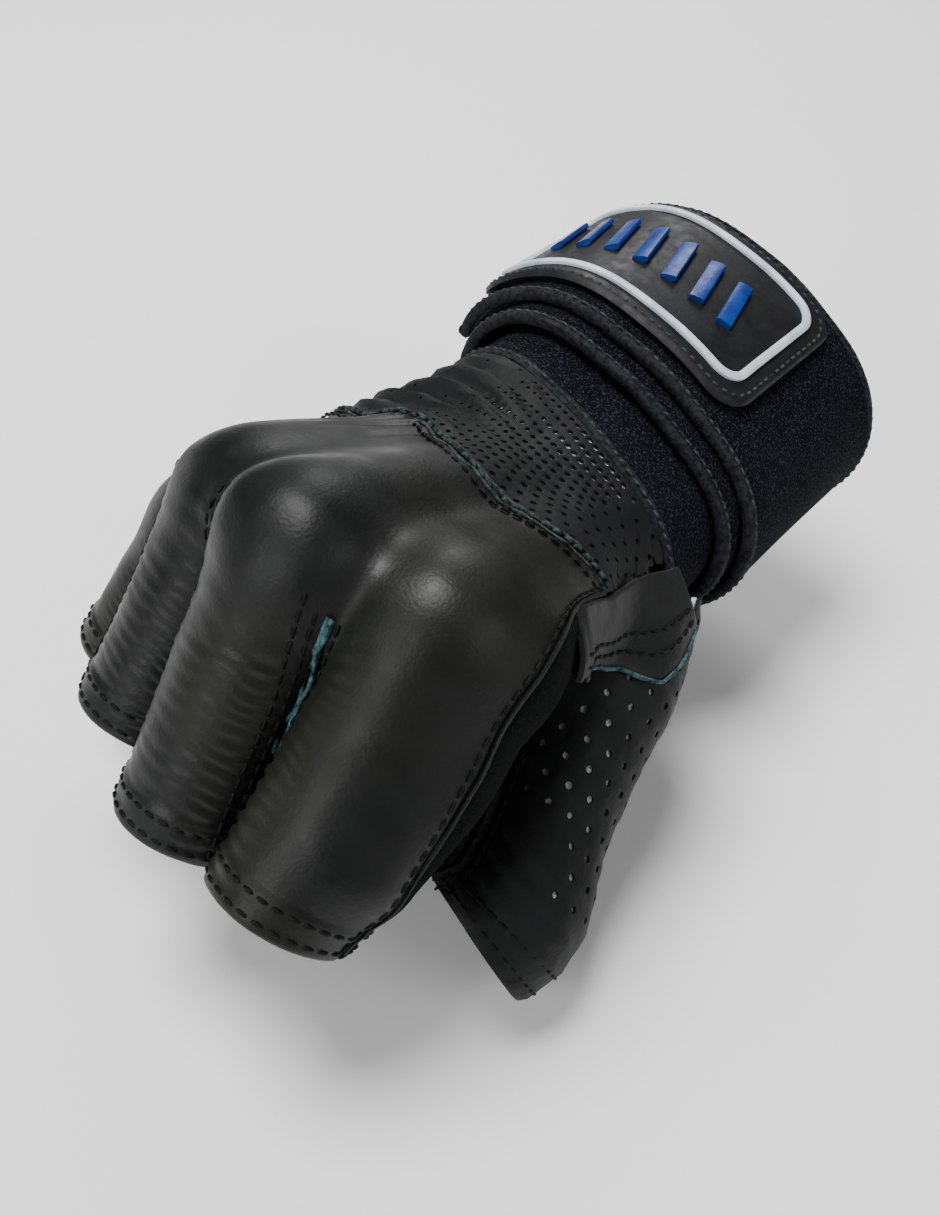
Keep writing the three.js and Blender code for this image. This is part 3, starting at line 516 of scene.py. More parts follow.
    def side_share(self, i: int, side: int, row: Array) -> Array:
        """Opening of the slit at one side of a finger.

        Args:
            i: Number of the finger, 0 for the index finger.
            side: Side of the finger.
            row: Row along the stall.

        Returns:
            Share at each place.
        """
        return self.slit_share(int(np.clip(i if side > 0 else i - 1, 0, 2)), row)

    def own_point(self, i: int, row: Array, angle: Array, level: Array) -> Array:
        """Points at set angles round one finger, on its own form.

        Args:
            i: Number of the finger, 0 for the index finger.
            row: Row along the stall.
            angle: Angle round the finger.
            level: Height over the form in millimetres.

        Returns:
            Points in millimetres.
        """
        o, _, n, l = self.frames(i, row)
        d = n * np.cos(angle)[:, None] - l * np.sin(angle)[:, None]
        return cast(o, d, level, lambda p: self.stall(p, i))

    def valley(self, k: int, row: Array) -> tuple:
        """Rays in the valley between finger k and the next.

        Args:
            k: Number of the slit, 0 beside the index finger.
            row: Row along the stall.

        Returns:
            Starts and directions of the rays.
        """
        fo, _, fn, _ = self.frames(k, row)
        go, _, gn, _ = self.frames(k + 1, row)
        point, normal = self.dividers[k]
        share = smooth((row - 0.5) / (0.5 + SLIT_STEP[k] / BEND_STEPS))[:, None]
        o, n = mix(fo, go, 0.5), unit(mix(fn, gn, 0.5))
        o = o - normal * share * ((o - point) @ normal)[:, None]
        return o, unit(n - normal * share * (n @ normal)[:, None])

    def joined_point(self, i: int, row: Array, u: Array, palm: bool, level: Array) -> Array:
        """Points on the joined hand: u runs from -1 at a finger's index side to 1.

        Args:
            i: Number of the finger, 0 for the index finger.
            row: Row along the stall.
            u: Place across, from -1 to 1.
            palm: Whether the palm's side is meant.
            level: Height over the form in millimetres.

        Returns:
            Points in millimetres.
        """
        out = np.zeros((len(row), 3))
        level = np.broadcast_to(level, row.shape)
        fo, _, fn, fl = self.frames(i, row)
        for side in (-1, 1):
            m = (u >= 0) if side > 0 else (u < 0)
            if not m.any():
                continue
            j, a = i + side, np.abs(u[m])
            if j < 0 or j > 3:
                edge = self.side_angle(i, side, palm, row[m])
                angle = np.radians(180 - (180 - edge) * a if palm else edge * a) * side
                o = fo[m]
                d = fn[m] * np.cos(angle)[:, None] - fl[m] * np.sin(angle)[:, None]
            else:
                go, gn = self.valley(min(i, j), row[m])
                o = mix(fo[m], go, a[:, None])
                d = unit(mix(fn[m], gn, a[:, None])) * (-1 if palm else 1)
            out[m] = cast(o, d, level[m], self.hand)
        return out

    def shell(self, i: int, row: Array, u: Array, palm: bool, level: Array) -> Array:
        """Points of the hand's shell, joined before the slits and split after them.

        Args:
            i: finger number, 0 for the index finger.
            row: place along the finger's line, 0 to 3.
            u: place across the finger, -1 to 1.
            palm: True for the palm side.
            level: distance from the hand's form.

        Returns:
            One point per row and u.
        """
        row, u = np.asarray(row, float).ravel(), np.asarray(u, float).ravel()
        level = np.broadcast_to(level, row.shape)
        plus, minus = self.side_share(i, 1, row), self.side_share(i, -1, row)
        share = mix((plus + minus) / 2, np.where(u >= 0, plus, minus), np.abs(u))
        edge = np.where(u >= 0, self.side_angle(i, 1, palm, row), self.side_angle(i, -1, palm, row))
        a = np.abs(u)
        angle = np.radians(180 - (180 - edge) * a if palm else edge * a) * np.where(u >= 0, 1, -1)
        out = np.zeros((len(row), 3))
        m = share < 1
        if m.any():
            out[m] = self.joined_point(i, row[m], u[m], palm, level[m])
        m2 = share > 0
        if m2.any():
            own = self.own_point(i, row[m2], angle[m2], level[m2])
            out[m2] = mix(np.where(m[m2][:, None], out[m2], own), own, share[m2][:, None])
        return out

    def thumb_frames(self, row: Array) -> tuple:
        """Places and axes along the thumb: row 0 at the wrist, 3 at the opening.

        Args:
            row: Row along the thumb, 0 to 3.

        Returns:
            Places and axes.
        """
        p = self.thumb_points
        d = unit(p[1:] - p[:-1])
        end = unit(THUMB_OPENING_DIR)
        tangents = np.array([d[0], unit(d[0] + d[1]), unit(d[1] + end), end])
        k = np.minimum(row.astype(int), 2)
        w = (row - k)[:, None]
        t = unit(mix(tangents[k], tangents[k + 1], w))
        back = np.broadcast_to(unit(THUMB_BACK), t.shape)
        n = unit(back - t * (back * t).sum(1)[:, None])
        return mix(p[k], p[k + 1], w), t, n, across(n, t)

    def thumb_point(self, row: Array, deg: Array, level: Array) -> Array:
        """Points round the thumb.

        Args:
            row: Row along the thumb, 0 to 3.
            deg: Angle in degrees.
            level: Height over the form in millimetres.

        Returns:
            Points in millimetres.
        """
        row, a = np.asarray(row, float).ravel(), np.radians(np.asarray(deg, float).ravel())
        o, _, n, l = self.thumb_frames(row)
        return cast(o, n * np.cos(a)[:, None] - l * np.sin(a)[:, None], level, self.thumb)

    def wrist_point(self, y: Array, deg: Array, level: Array, slant: Array = 0.0) -> Array:
        """Points round the wrist: angle 0 at the thumb side, 90 at its back.

        Args:
            y: Place along the forearm.
            deg: Angle in degrees.
            level: Height over the form in millimetres.
            slant: Lean of the ring along the forearm.

        Returns:
            Points in millimetres.
        """
        y, deg = np.broadcast_arrays(np.asarray(y, float).ravel(), np.asarray(deg, float).ravel())
        a = np.radians(deg)[:, None]
        d = self.wrist_side * np.cos(a) + self.wrist_up * np.sin(a)
        d[:, 1] = self.slope * d[:, 0] * slant
        o = np.zeros_like(d)
        o[:, 1] = y
        return cast(o, unit(d), level, self.hand)


HAND = Hand()


def seam_row(i: int, u: Array) -> Array:
    """Row where the knuckle leather meets the pierced back.

    Args:
        i: Number of the finger, 0 for the index finger.
        u: Place across, from -1 to 1.

    Returns:
        Row of the seam.
    """
    j = np.clip(i + np.where(u >= 0, 1, -1), 0, 3)
    seams = np.array([f.seam for f in FINGERS])
    fall = np.where((i == 0) & (u < 0), SEAM_FALL * np.abs(u) ** 1.5, 0)
    return mix(seams[i], seams[j], np.abs(u) / 2) - fall


# Mesh building


@dataclass
class Sheet:
    """Points and faces of a surface under construction, in millimetres."""

    points: Array = field(default_factory=lambda: np.zeros((0, 3)))
    faces: list = field(default_factory=list)

    def add(self, points: Array, faces: Sequence[Sequence[int]]) -> None:
        """Adds points with the faces between them.

        Args:
            points: Points, one row each.
            faces: Faces as point numbers.

        Returns:
            None.
        """
        base = len(self.points)
        self.points = np.vstack([self.points, points])
        self.faces += [tuple(int(k) + base for k in f) for f in faces]

    def add_grid(self, grid: Array, flip: bool = False, wrap: bool = False) -> None:
        """Adds a grid of rows by columns.

        Args:
            grid: points as rows, columns and three numbers.
            flip: turns the faces over.
            wrap: joins the last column to the first.

        Returns:
            None.
        """
        r, c = grid.shape[:2]
        ids = np.arange(r * c).reshape(r, c)
        if wrap:
            ids = np.hstack([ids, ids[:, :1]])
        a, b, d, e = ids[:-1, :-1], ids[:-1, 1:], ids[1:, :-1], ids[1:, 1:]
        quads = np.stack([a, b, e, d] if flip else [a, d, e, b], axis=-1).reshape(-1, 4)
        self.add(grid.reshape(-1, 3), quads)

    def welded(self, distance: float = 0.02) -> "Sheet":
        """The surface with meeting points joined.

        Args:
            distance: Distance within which points join.

        Returns:
            The surface.
        """
        mesh = bmesh.new()
        verts = [mesh.verts.new(p) for p in self.points]
        for f in self.faces:
            if len(set(f)) > 2:
                mesh.faces.new([verts[k] for k in f])
        bmesh.ops.remove_doubles(mesh, verts=mesh.verts, dist=distance)
        loose = [v for v in mesh.verts if not v.link_faces]
        bmesh.ops.delete(mesh, geom=loose, context="VERTS")
        mesh.verts.index_update()
        points = np.array([v.co[:] for v in mesh.verts])
        faces = [tuple(v.index for v in f.verts) for f in mesh.faces]
        mesh.free()
        return Sheet(points, faces)

    def normals(self) -> Array:
        """Unit normals at the points.

        Returns:
            One vector for each point.
        """
        out = np.zeros_like(self.points)
        by_size: dict = {}
        for f in self.faces:
            by_size.setdefault(len(f), []).append(f)
        for size, group in by_size.items():
            f = np.array(group)
            p = self.points[f]
            n = np.zeros((len(f), 3))
            for k in range(1, size - 1):
                n += np.cross(p[:, k] - p[:, 0], p[:, k + 1] - p[:, 0])
            for k in range(size):
                np.add.at(out, f[:, k], n)
        return unit(out)

    def area(self) -> float:
        """Area in square millimetres.

        Returns:
            The area.
        """
        total = 0.0
        for f in self.faces:
            p = self.points[list(f)]
            for k in range(1, len(f) - 1):
                total += 0.5 * np.linalg.norm(np.cross(p[k] - p[0], p[k + 1] - p[0]))
        return total

    def keep(self, wanted: Array) -> None:
        """Keeps the faces whose points are all wanted.

        Args:
            wanted: Whether each point is wanted.

        Returns:
            None.
        """
        self.faces = [f for f in self.faces if all(wanted[k] for k in f)]

    def turned_out(self, distance: Callable[[Array], Array]) -> "Sheet":
        """The surface with its faces turned the way a distance grows.

        Args:
            distance: Distance function of the form.

        Returns:
            The surface.
        """
        n = self.normals()
        pick = np.arange(0, len(self.points), max(1, len(self.points) // 400))
        grow = distance(self.points[pick] + n[pick] * 0.5) - distance(self.points[pick] - n[pick] * 0.5)
        if grow.sum() < 0:
            self.faces = [tuple(reversed(f)) for f in self.faces]
        return self

    def thickened(self, thickness: Array, rim_round: float = 0.25) -> "Sheet":
        """A closed sheet: the surface, its inner side and walls on the open edges.

        Args:
            thickness: one value or one per point.
            rim_round: how far the open edges are drawn in to round them.

        Returns:
            The closed sheet.
        """
        n = self.normals()
        t = np.broadcast_to(thickness, (len(self.points),))[:, None]
        edges: dict = {}
        for f in self.faces:
            for k, a in enumerate(f):
                edges[(a, f[(k + 1) % len(f)])] = True
        rim = [e for e in edges if (e[1], e[0]) not in edges]
        outer = self.points.copy()
        on_rim = np.zeros(len(outer), bool)
        for a, b in rim:
            on_rim[a] = on_rim[b] = True
        outer[on_rim] -= n[on_rim] * rim_round
        inner = self.points - n * t
        inner[on_rim] += n[on_rim] * rim_round
        count = len(outer)
        faces = list(self.faces)
        faces += [tuple(k + count for k in reversed(f)) for f in self.faces]
        faces += [(b, a, a + count, b + count) for a, b in rim]
        return Sheet(np.vstack([outer, inner]), faces)


def loose_parts(sheets: Sequence[Sheet]) -> Sheet:
    """Several surfaces as one, not joined.

    Args:
        sheets: The surfaces.

    Returns:
        The surface.
    """
    out = Sheet()
    for s in sheets:
        out.add(s.points, s.faces)
    return out


def make_piece(name: str, sheet: Sheet, material: bpy.types.Material,
               nodes: Sequence[str] = (), sharp: float = 50) -> bpy.types.Object:
    """Makes a Blender object that rides on the glove.

    Args:
        name: the piece's name.
        sheet: its surface in millimetres.
        material: its finish.
        nodes: the solids that it stands for.
        sharp: edges steeper than this angle in degrees stay sharp.

    Returns:
        The object.
    """
    mesh = bpy.data.meshes.new(name)
    mesh.from_pydata((sheet.points * MM).tolist(), [], sheet.faces)
    mesh.validate()
    mesh.polygons.foreach_set("use_smooth", [True] * len(mesh.polygons))
    mesh.set_sharp_from_angle(angle=math.radians(sharp))
    mesh.materials.append(material)
    obj = bpy.data.objects.new(name, mesh)
    bpy.context.scene.collection.objects.link(obj)
    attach(obj, "root")
    if nodes:
        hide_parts(*nodes)
    log.info("%s: %d faces", name, len(sheet.faces))
    return obj


@dataclass
class Seam:
    """A line on the glove's surface with its outward directions."""

    points: Array
    out: Array

    def resampled(self, step: float) -> "Seam":
        """The same line with even steps.

        Args:
            step: Step in millimetres.

        Returns:
            The line.
        """
        gaps = np.linalg.norm(np.diff(self.points, axis=0), axis=1)
        s = np.concatenate([[0], np.cumsum(gaps)])
        count = max(3, int(s[-1] / step) + 1)
        at = np.linspace(0, s[-1], count)
        points = np.stack([np.interp(at, s, self.points[:, k]) for k in range(3)], axis=1)
        out = np.stack([np.interp(at, s, self.out[:, k]) for k in range(3)], axis=1)
        return Seam(points, unit(out))

    def axes(self) -> tuple:
        """Tangents and directions to the side at each point.

        Returns:
            Tangents and directions to the side.
        """
        t = unit(np.gradient(self.points, axis=0))
        side = unit(np.cross(self.out, t))
        return t, side

    def moved(self, sideways: float, up: float = 0.0) -> "Seam":
        """The line moved sideways and up on the surface.

        Args:
            sideways: Move to the side in mm.
            up: Move outward in millimetres.

        Returns:
            The line.
        """
        _, side = self.axes()
        return Seam(self.points + side * sideways + self.out * up, self.out)


def stitches(seam: Seam, pitch: float = 2.6, share: float = 0.86, radius: float = 0.36,
             lift: float = -0.04) -> Sheet:
    """A row of thread stitches along a seam.

    Args:
        seam: the line.
        pitch: distance from one stitch to the next.
        share: length of a stitch as a share of the pitch.
        radius: thread radius.
        lift: height of the thread's middle over the surface.

    Returns:
        All the stitches as one surface.
    """
    line = seam.resampled(pitch)
    t, side = line.axes()
    mid = (line.points[1:] + line.points[:-1]) / 2
    t, side, out = t[:-1], side[:-1], line.out[:-1]
    along = np.array([-0.5, -0.42, -0.2, 0.2, 0.42, 0.5])
    girth = np.array([0.15, 0.72, 1.0, 1.0, 0.72, 0.15])
    arch = np.array([-0.7, -0.25, 0.35, 0.35, -0.25, -0.7])
    ring = np.arange(8) * math.pi / 4
    real = np.linalg.norm(np.diff(line.points, axis=0), axis=1)[:, None]
    sheet = Sheet()
    grids = []
    for a, g, h in zip(along, girth, arch):
        centre = mid + t * a * real * share + out * (lift + h * radius)
        grids.append(centre[:, None, :] + radius * g * (side[:, None, :] * np.cos(ring)[None, :, None]
                     + out[:, None, :] * np.sin(ring)[None, :, None]))
    all_rings = np.stack(grids, axis=1)
    for k in range(len(mid)):
        sheet.add_grid(all_rings[k], wrap=True)
    return sheet


def band(seam: Seam, width: float, height: float, wave: float = 0.0, seed: int = 1,
         closed: bool = False, step: float = 0.7) -> Sheet:
    """A rounded band along a seam, such as a raw edge or a bound rim.

    Args:
        seam: the line at the band's foot.
        width: width across the seam.
        height: height over the surface.
        wave: unevenness of the band in millimetres.
        seed: number that picks the unevenness.
        closed: joins the end to the start.
        step: distance between sections.

    Returns:
        The band's surface.
    """
    line = seam.resampled(step)
    _, side = line.axes()
    turn = np.arange(10) * 2 * math.pi / 10
    ex = np.sign(np.cos(turn)) * np.abs(np.cos(turn)) ** 0.6
    ey = np.sign(np.sin(turn)) * np.abs(np.sin(turn)) ** 0.6
    uneven = wave * grain(line.points, 1.6, seed)[:, None, None]
    lean = wave * grain(line.points, 4.0, seed + 7)[:, None, None]
    grid = (line.points[:, None, :] + side[:, None, :] * (ex[None, :, None] * width / 2 + lean)
            + line.out[:, None, :] * (ey[None, :, None] * (height + uneven) / 2 + height / 2))
    sheet = Sheet()
    if closed:
        grid = np.concatenate([grid, grid[:1]])
        sheet.add_grid(grid, wrap=True)
        return sheet.welded(0.001)
    sheet.add_grid(grid, wrap=True)
    last = len(grid) * 10
    sheet.faces.append(tuple(range(9, -1, -1)))
    sheet.faces.append(tuple(range(last - 10, last)))
    return sheet


# Finishes


class Paint:
    """Node tree of one finish, built step by step."""

    def __init__(self, name: str, roughness: float, sheen: float = 0.0, coat: float = 0.0,
                 specular: float = 0.5) -> None:
        """Starts a material.

        Args:
            name: the material's name.
            roughness: base roughness.
            sheen: weight of the sheen.
            coat: weight of the coat.
            specular: specular level.

        Returns:
            None.
        """
        self.material = bpy.data.materials.new(name)
        self.material.use_nodes = True
        self.tree = self.material.node_tree
        self.shader = self.tree.nodes["Principled BSDF"]
        self.shader.inputs["Roughness"].default_value = roughness
        self.shader.inputs["Sheen Weight"].default_value = sheen
        self.shader.inputs["Sheen Roughness"].default_value = 0.4
        self.shader.inputs["Coat Weight"].default_value = coat
        self.shader.inputs["Coat Roughness"].default_value = 0.35
        self.shader.inputs["Specular IOR Level"].default_value = specular
        self.where = self.tree.nodes.new("ShaderNodeTexCoord").outputs["Object"]

    def _link(self, a: bpy.types.NodeSocket, b: bpy.types.NodeSocket) -> None:
        """Joins two sockets.

        Args:
            a: Socket that gives.
            b: Socket that takes.

        Returns:
            None.
        """
        self.tree.links.new(a, b)

    def stretched(self, x: float, y: float, z: float) -> bpy.types.NodeSocket:
        """Coordinates scaled along each axis.

        Args:
            x: Scale along x.
            y: Scale along y.
            z: Scale along z.

        Returns:
            Socket that gives the result.
        """
        node = self.tree.nodes.new("ShaderNodeMapping")
        self._link(self.where, node.inputs["Vector"])
        node.inputs["Scale"].default_value = (x, y, z)
        return node.outputs["Vector"]

    def noise(self, scale: float, detail: float = 3, rough: float = 0.55,
              where: Optional[bpy.types.NodeSocket] = None) -> bpy.types.NodeSocket:
        """Noise value at a scale per metre.

        Args:
            scale: Scale per metre.
            detail: Detail of the noise.
            rough: Roughness of the noise.
            where: Coordinates, or none for the object's own.

        Returns:
            Socket that gives the result.
        """
        node = self.tree.nodes.new("ShaderNodeTexNoise")
        self._link(where or self.where, node.inputs["Vector"])
        node.inputs["Scale"].default_value = scale
        node.inputs["Detail"].default_value = detail
        node.inputs["Roughness"].default_value = rough
        return node.outputs["Fac"]

    def cells(self, scale: float, feature: str = "F1",
              where: Optional[bpy.types.NodeSocket] = None) -> bpy.types.NodeSocket:
        """Distance in a pattern of cells at a scale per metre.

        Args:
            scale: Scale per metre.
            feature: Kind of distance.
            where: Coordinates, or none for the object's own.

        Returns:
            Socket that gives the result.
        """
        node = self.tree.nodes.new("ShaderNodeTexVoronoi")
        node.feature = feature
        self._link(where or self.where, node.inputs["Vector"])
        node.inputs["Scale"].default_value = scale
        return node.outputs["Distance"]

    def ramp(self, value: bpy.types.NodeSocket, low: float, high: float,
             a: float = 0.0, b: float = 1.0) -> bpy.types.NodeSocket:
        """Value moved from low..high to a..b.

        Args:
            value: Socket with the value.
            low: Lower end of the value.
            high: Upper end of the value.
            a: Result at low.
            b: Result at high.

        Returns:
            Socket that gives the result.
        """
        node = self.tree.nodes.new("ShaderNodeMapRange")
        self._link(value, node.inputs["Value"])
        for key, v in (("From Min", low), ("From Max", high), ("To Min", a), ("To Max", b)):
            node.inputs[key].default_value = v
        return node.outputs["Result"]

    def blend(self, share: bpy.types.NodeSocket, a: object, b: object) -> bpy.types.NodeSocket:
        """Mix of two colours, each a tuple or a socket.

        Args:
            share: Share of the second colour.
            a: First colour.
            b: Second colour.

        Returns:
            Socket that gives the result.
        """
        node = self.tree.nodes.new("ShaderNodeMix")
        node.data_type = "RGBA"
        self._link(share, node.inputs["Factor"])
        for key, value in ((6, a), (7, b)):
            if isinstance(value, tuple):
                node.inputs[key].default_value = (*value, 1)
            else:
                self._link(value, node.inputs[key])
        return node.outputs[2]

    def colour(self, socket: bpy.types.NodeSocket) -> None:
        """Sets the base colour.

        Args:
            socket: Socket that gives the value.

        Returns:
            None.
        """
        self._link(socket, self.shader.inputs["Base Color"])

    def rough(self, socket: bpy.types.NodeSocket) -> None:
        """Sets the roughness.

        Args:
            socket: Socket that gives the value.

        Returns:
            None.
        """
        self._link(socket, self.shader.inputs["Roughness"])

    def bumps(self, layers: Sequence[tuple]) -> None:
        """Adds bump layers.

        Args:
            layers: pairs of a height socket and its depth in metres.

        Returns:
            None.
        """
        last = None
        for height, depth in layers:
            node = self.tree.nodes.new("ShaderNodeBump")
            node.inputs["Strength"].default_value = 1.0
            node.inputs["Distance"].default_value = depth
            self._link(height, node.inputs["Height"])
            if last is not None:
                self._link(last, node.inputs["Normal"])
            last = node.outputs["Normal"]
        self._link(last, self.shader.inputs["Normal"])


@dataclass(frozen=True)
class LeatherFinish:
    """Grain leather with a soft gloss, and a sheen painted in as large patches of a lighter tint."""

    name: str
    dark: tuple
    light: tuple
    # colour of the painted sheen: patches of it stand in for the leather's olive sheen
    sheen_tint: tuple
    roughness: float = 0.46
    pebble: float = 0.00003
    crease: float = 0.00008
    fine: float = 0.00005

    def make(self) -> bpy.types.Material:
        """Builds the material.

        Returns:
            The material.
        """
        p = Paint(self.name, self.roughness, specular=0.24)
        cloudy = p.ramp(p.noise(38, 3), 0.35, 0.68)
        # painted sheen: noise patches blend the colour toward the lighter sheen tint
        painted_sheen_patches = p.ramp(p.noise(17, 2), 0.5, 0.72)
        base = p.blend(cloudy, self.dark, self.light)
        p.colour(p.blend(painted_sheen_patches, base, self.sheen_tint))
        p.rough(p.ramp(p.noise(120, 4), 0.3, 0.7, self.roughness - 0.07, self.roughness + 0.1))
        pebbles = p.cells(1900, "SMOOTH_F1")
        fold = p.noise(260, 4, 0.6, p.stretched(1, 0.45, 1))
        wrinkle = p.noise(900, 4, 0.65, p.stretched(0.55, 1, 1))
        p.bumps([(fold, self.crease), (wrinkle, self.fine), (pebbles, self.pebble)])
        return p.material


@dataclass(frozen=True)
class NapFinish:
    """Suede, velour or cloth with a short nap."""

    name: str
    dark: tuple
    light: tuple
    speck: tuple
    speck_share: float = 0.62
    scale: float = 1500
    depth: float = 0.00018
    sheen: float = 0.35

    def make(self) -> bpy.types.Material:
        """Builds the material.

        Returns:
            The material.
        """
        p = Paint(self.name, 0.93, sheen=self.sheen, specular=0.05)
        patch = p.ramp(p.noise(60, 4), 0.3, 0.7)
        base = p.blend(patch, self.dark, self.light)
        fibre = p.noise(self.scale, 3, 0.6)
        specks = p.ramp(fibre, self.speck_share, self.speck_share + 0.1)
        p.colour(p.blend(specks, base, self.speck))
        p.bumps([(p.noise(220, 3), self.depth), (fibre, self.depth)])
        return p.material


@dataclass(frozen=True)
class ThreadFinish:
    """Thread, tape or a raw cut edge, with fine fibres."""

    name: str
    dark: tuple
    light: tuple
    roughness: float = 0.75
    scale: float = 900

    def make(self) -> bpy.types.Material:
        """Builds the material.

        Returns:
            The material.
        """
        p = Paint(self.name, self.roughness, specular=0.12)
        p.colour(p.blend(p.ramp(p.noise(self.scale, 3), 0.38, 0.62), self.dark, self.light))
        p.bumps([(p.noise(self.scale * 2.2, 3), 0.00012)])
        return p.material


@dataclass(frozen=True)
class WeaveFinish:
    """Knit or woven cloth with crossing ribs, painted darker in the grooves between them as shade."""

    name: str
    dark: tuple
    light: tuple
    scale: float = 900

    def make(self) -> bpy.types.Material:
        """Builds the material.

        Returns:
            The material.
        """
        p = Paint(self.name, 0.9, specular=0.08)
        rib = p.cells(self.scale, "F1", p.stretched(1, 1.6, 1))
        # painted shade: the colour turns dark where the rib bump sinks, in the grooves between ribs
        p.colour(p.blend(p.ramp(rib, 0.1, 0.6), self.light, self.dark))
        p.bumps([(rib, -0.0002), (p.noise(self.scale * 2, 2), 0.00006)])
        return p.material


@dataclass(frozen=True)
class RubberFinish:
    """Moulded rubber with fine dust and scuffs."""

    name: str
    dark: tuple
    light: tuple
    roughness: float = 0.5

    def make(self) -> bpy.types.Material:
        """Builds the material.

        Returns:
            The material.
        """
        p = Paint(self.name, self.roughness, specular=0.2)
        p.colour(p.blend(p.ramp(p.noise(170, 5), 0.35, 0.7), self.dark, self.light))
        p.rough(p.ramp(p.noise(420, 4), 0.3, 0.7, self.roughness - 0.08, self.roughness + 0.12))
        p.bumps([(p.noise(1300, 3), 0.00005)])
        return p.material


class Finish(Enum):
    """Every finish on the glove."""

    # the third colour of each leather is its painted sheen tint
    LEATHER = LeatherFinish("finish_leather", (0.0013, 0.0017, 0.0016), (0.0038, 0.0046, 0.004),
                            (0.009, 0.0098, 0.0062))
    STRIP = LeatherFinish("finish_strip_leather", (0.0026, 0.0029, 0.0032), (0.0068, 0.0072, 0.0078),
                          (0.0095, 0.0095, 0.0095), 0.55, 0.00006, 0.0002)
    PIERCED = LeatherFinish("finish_pierced_leather", (0.0007, 0.0009, 0.0012), (0.0018, 0.0022, 0.0028),
                            (0.0023, 0.0028, 0.0034), 0.66, 0.00004, 0.00025)
    SUEDE = NapFinish("finish_suede", (0.0009, 0.0016, 0.0015), (0.0026, 0.004, 0.0034),
                      (0.0052, 0.0078, 0.0067), 0.53, 1900, 0.0003, 0.0)
    VELOUR = NapFinish("finish_velour", (0.0013, 0.0018, 0.003), (0.0034, 0.0045, 0.0072),
                       (0.024, 0.028, 0.035), 0.53, 2300, 0.0003, 0.0)
    # the darker colour of each weave is painted shade in the grooves between its ribs
    KNIT = WeaveFinish("finish_knit", (0.0012, 0.0013, 0.0016), (0.008, 0.0083, 0.0095), 800)
    GREY_CLOTH = WeaveFinish("finish_grey_cloth", (0.5, 0.5, 0.52), (0.85, 0.86, 0.88), 1500)
    BINDING = ThreadFinish("finish_binding", (0.0036, 0.0043, 0.0056), (0.015, 0.0172, 0.021))
    GREY_THREAD = ThreadFinish("finish_grey_thread", (0.012, 0.0145, 0.017), (0.045, 0.05, 0.056))
    BLACK_THREAD = ThreadFinish("finish_black_thread", (0.0006, 0.0006, 0.0008),
                                (0.003, 0.0034, 0.0038), 0.6)
    RAW_EDGE = ThreadFinish("finish_raw_edge", (0.005, 0.013, 0.016), (0.05, 0.115, 0.125), 0.8, 620)
    SEAM_EDGE = ThreadFinish("finish_seam_edge", (0.005, 0.0075, 0.007), (0.042, 0.062, 0.057), 0.8, 620)
    RUBBER = RubberFinish("finish_rubber", (0.004, 0.0045, 0.0054), (0.0088, 0.0098, 0.0115))
    SILVER = RubberFinish("finish_silver", (0.4, 0.46, 0.55), (0.66, 0.72, 0.81), 0.42)
    BLUE = RubberFinish("finish_blue", (0.002, 0.018, 0.13), (0.007, 0.04, 0.23), 0.36)

    def material(self) -> bpy.types.Material:
        """The finish's material, made once.

        Returns:
            The material.
        """
        found = bpy.data.materials.get(self.value.name)
        return found or self.value.make()


# Sub-assemblies


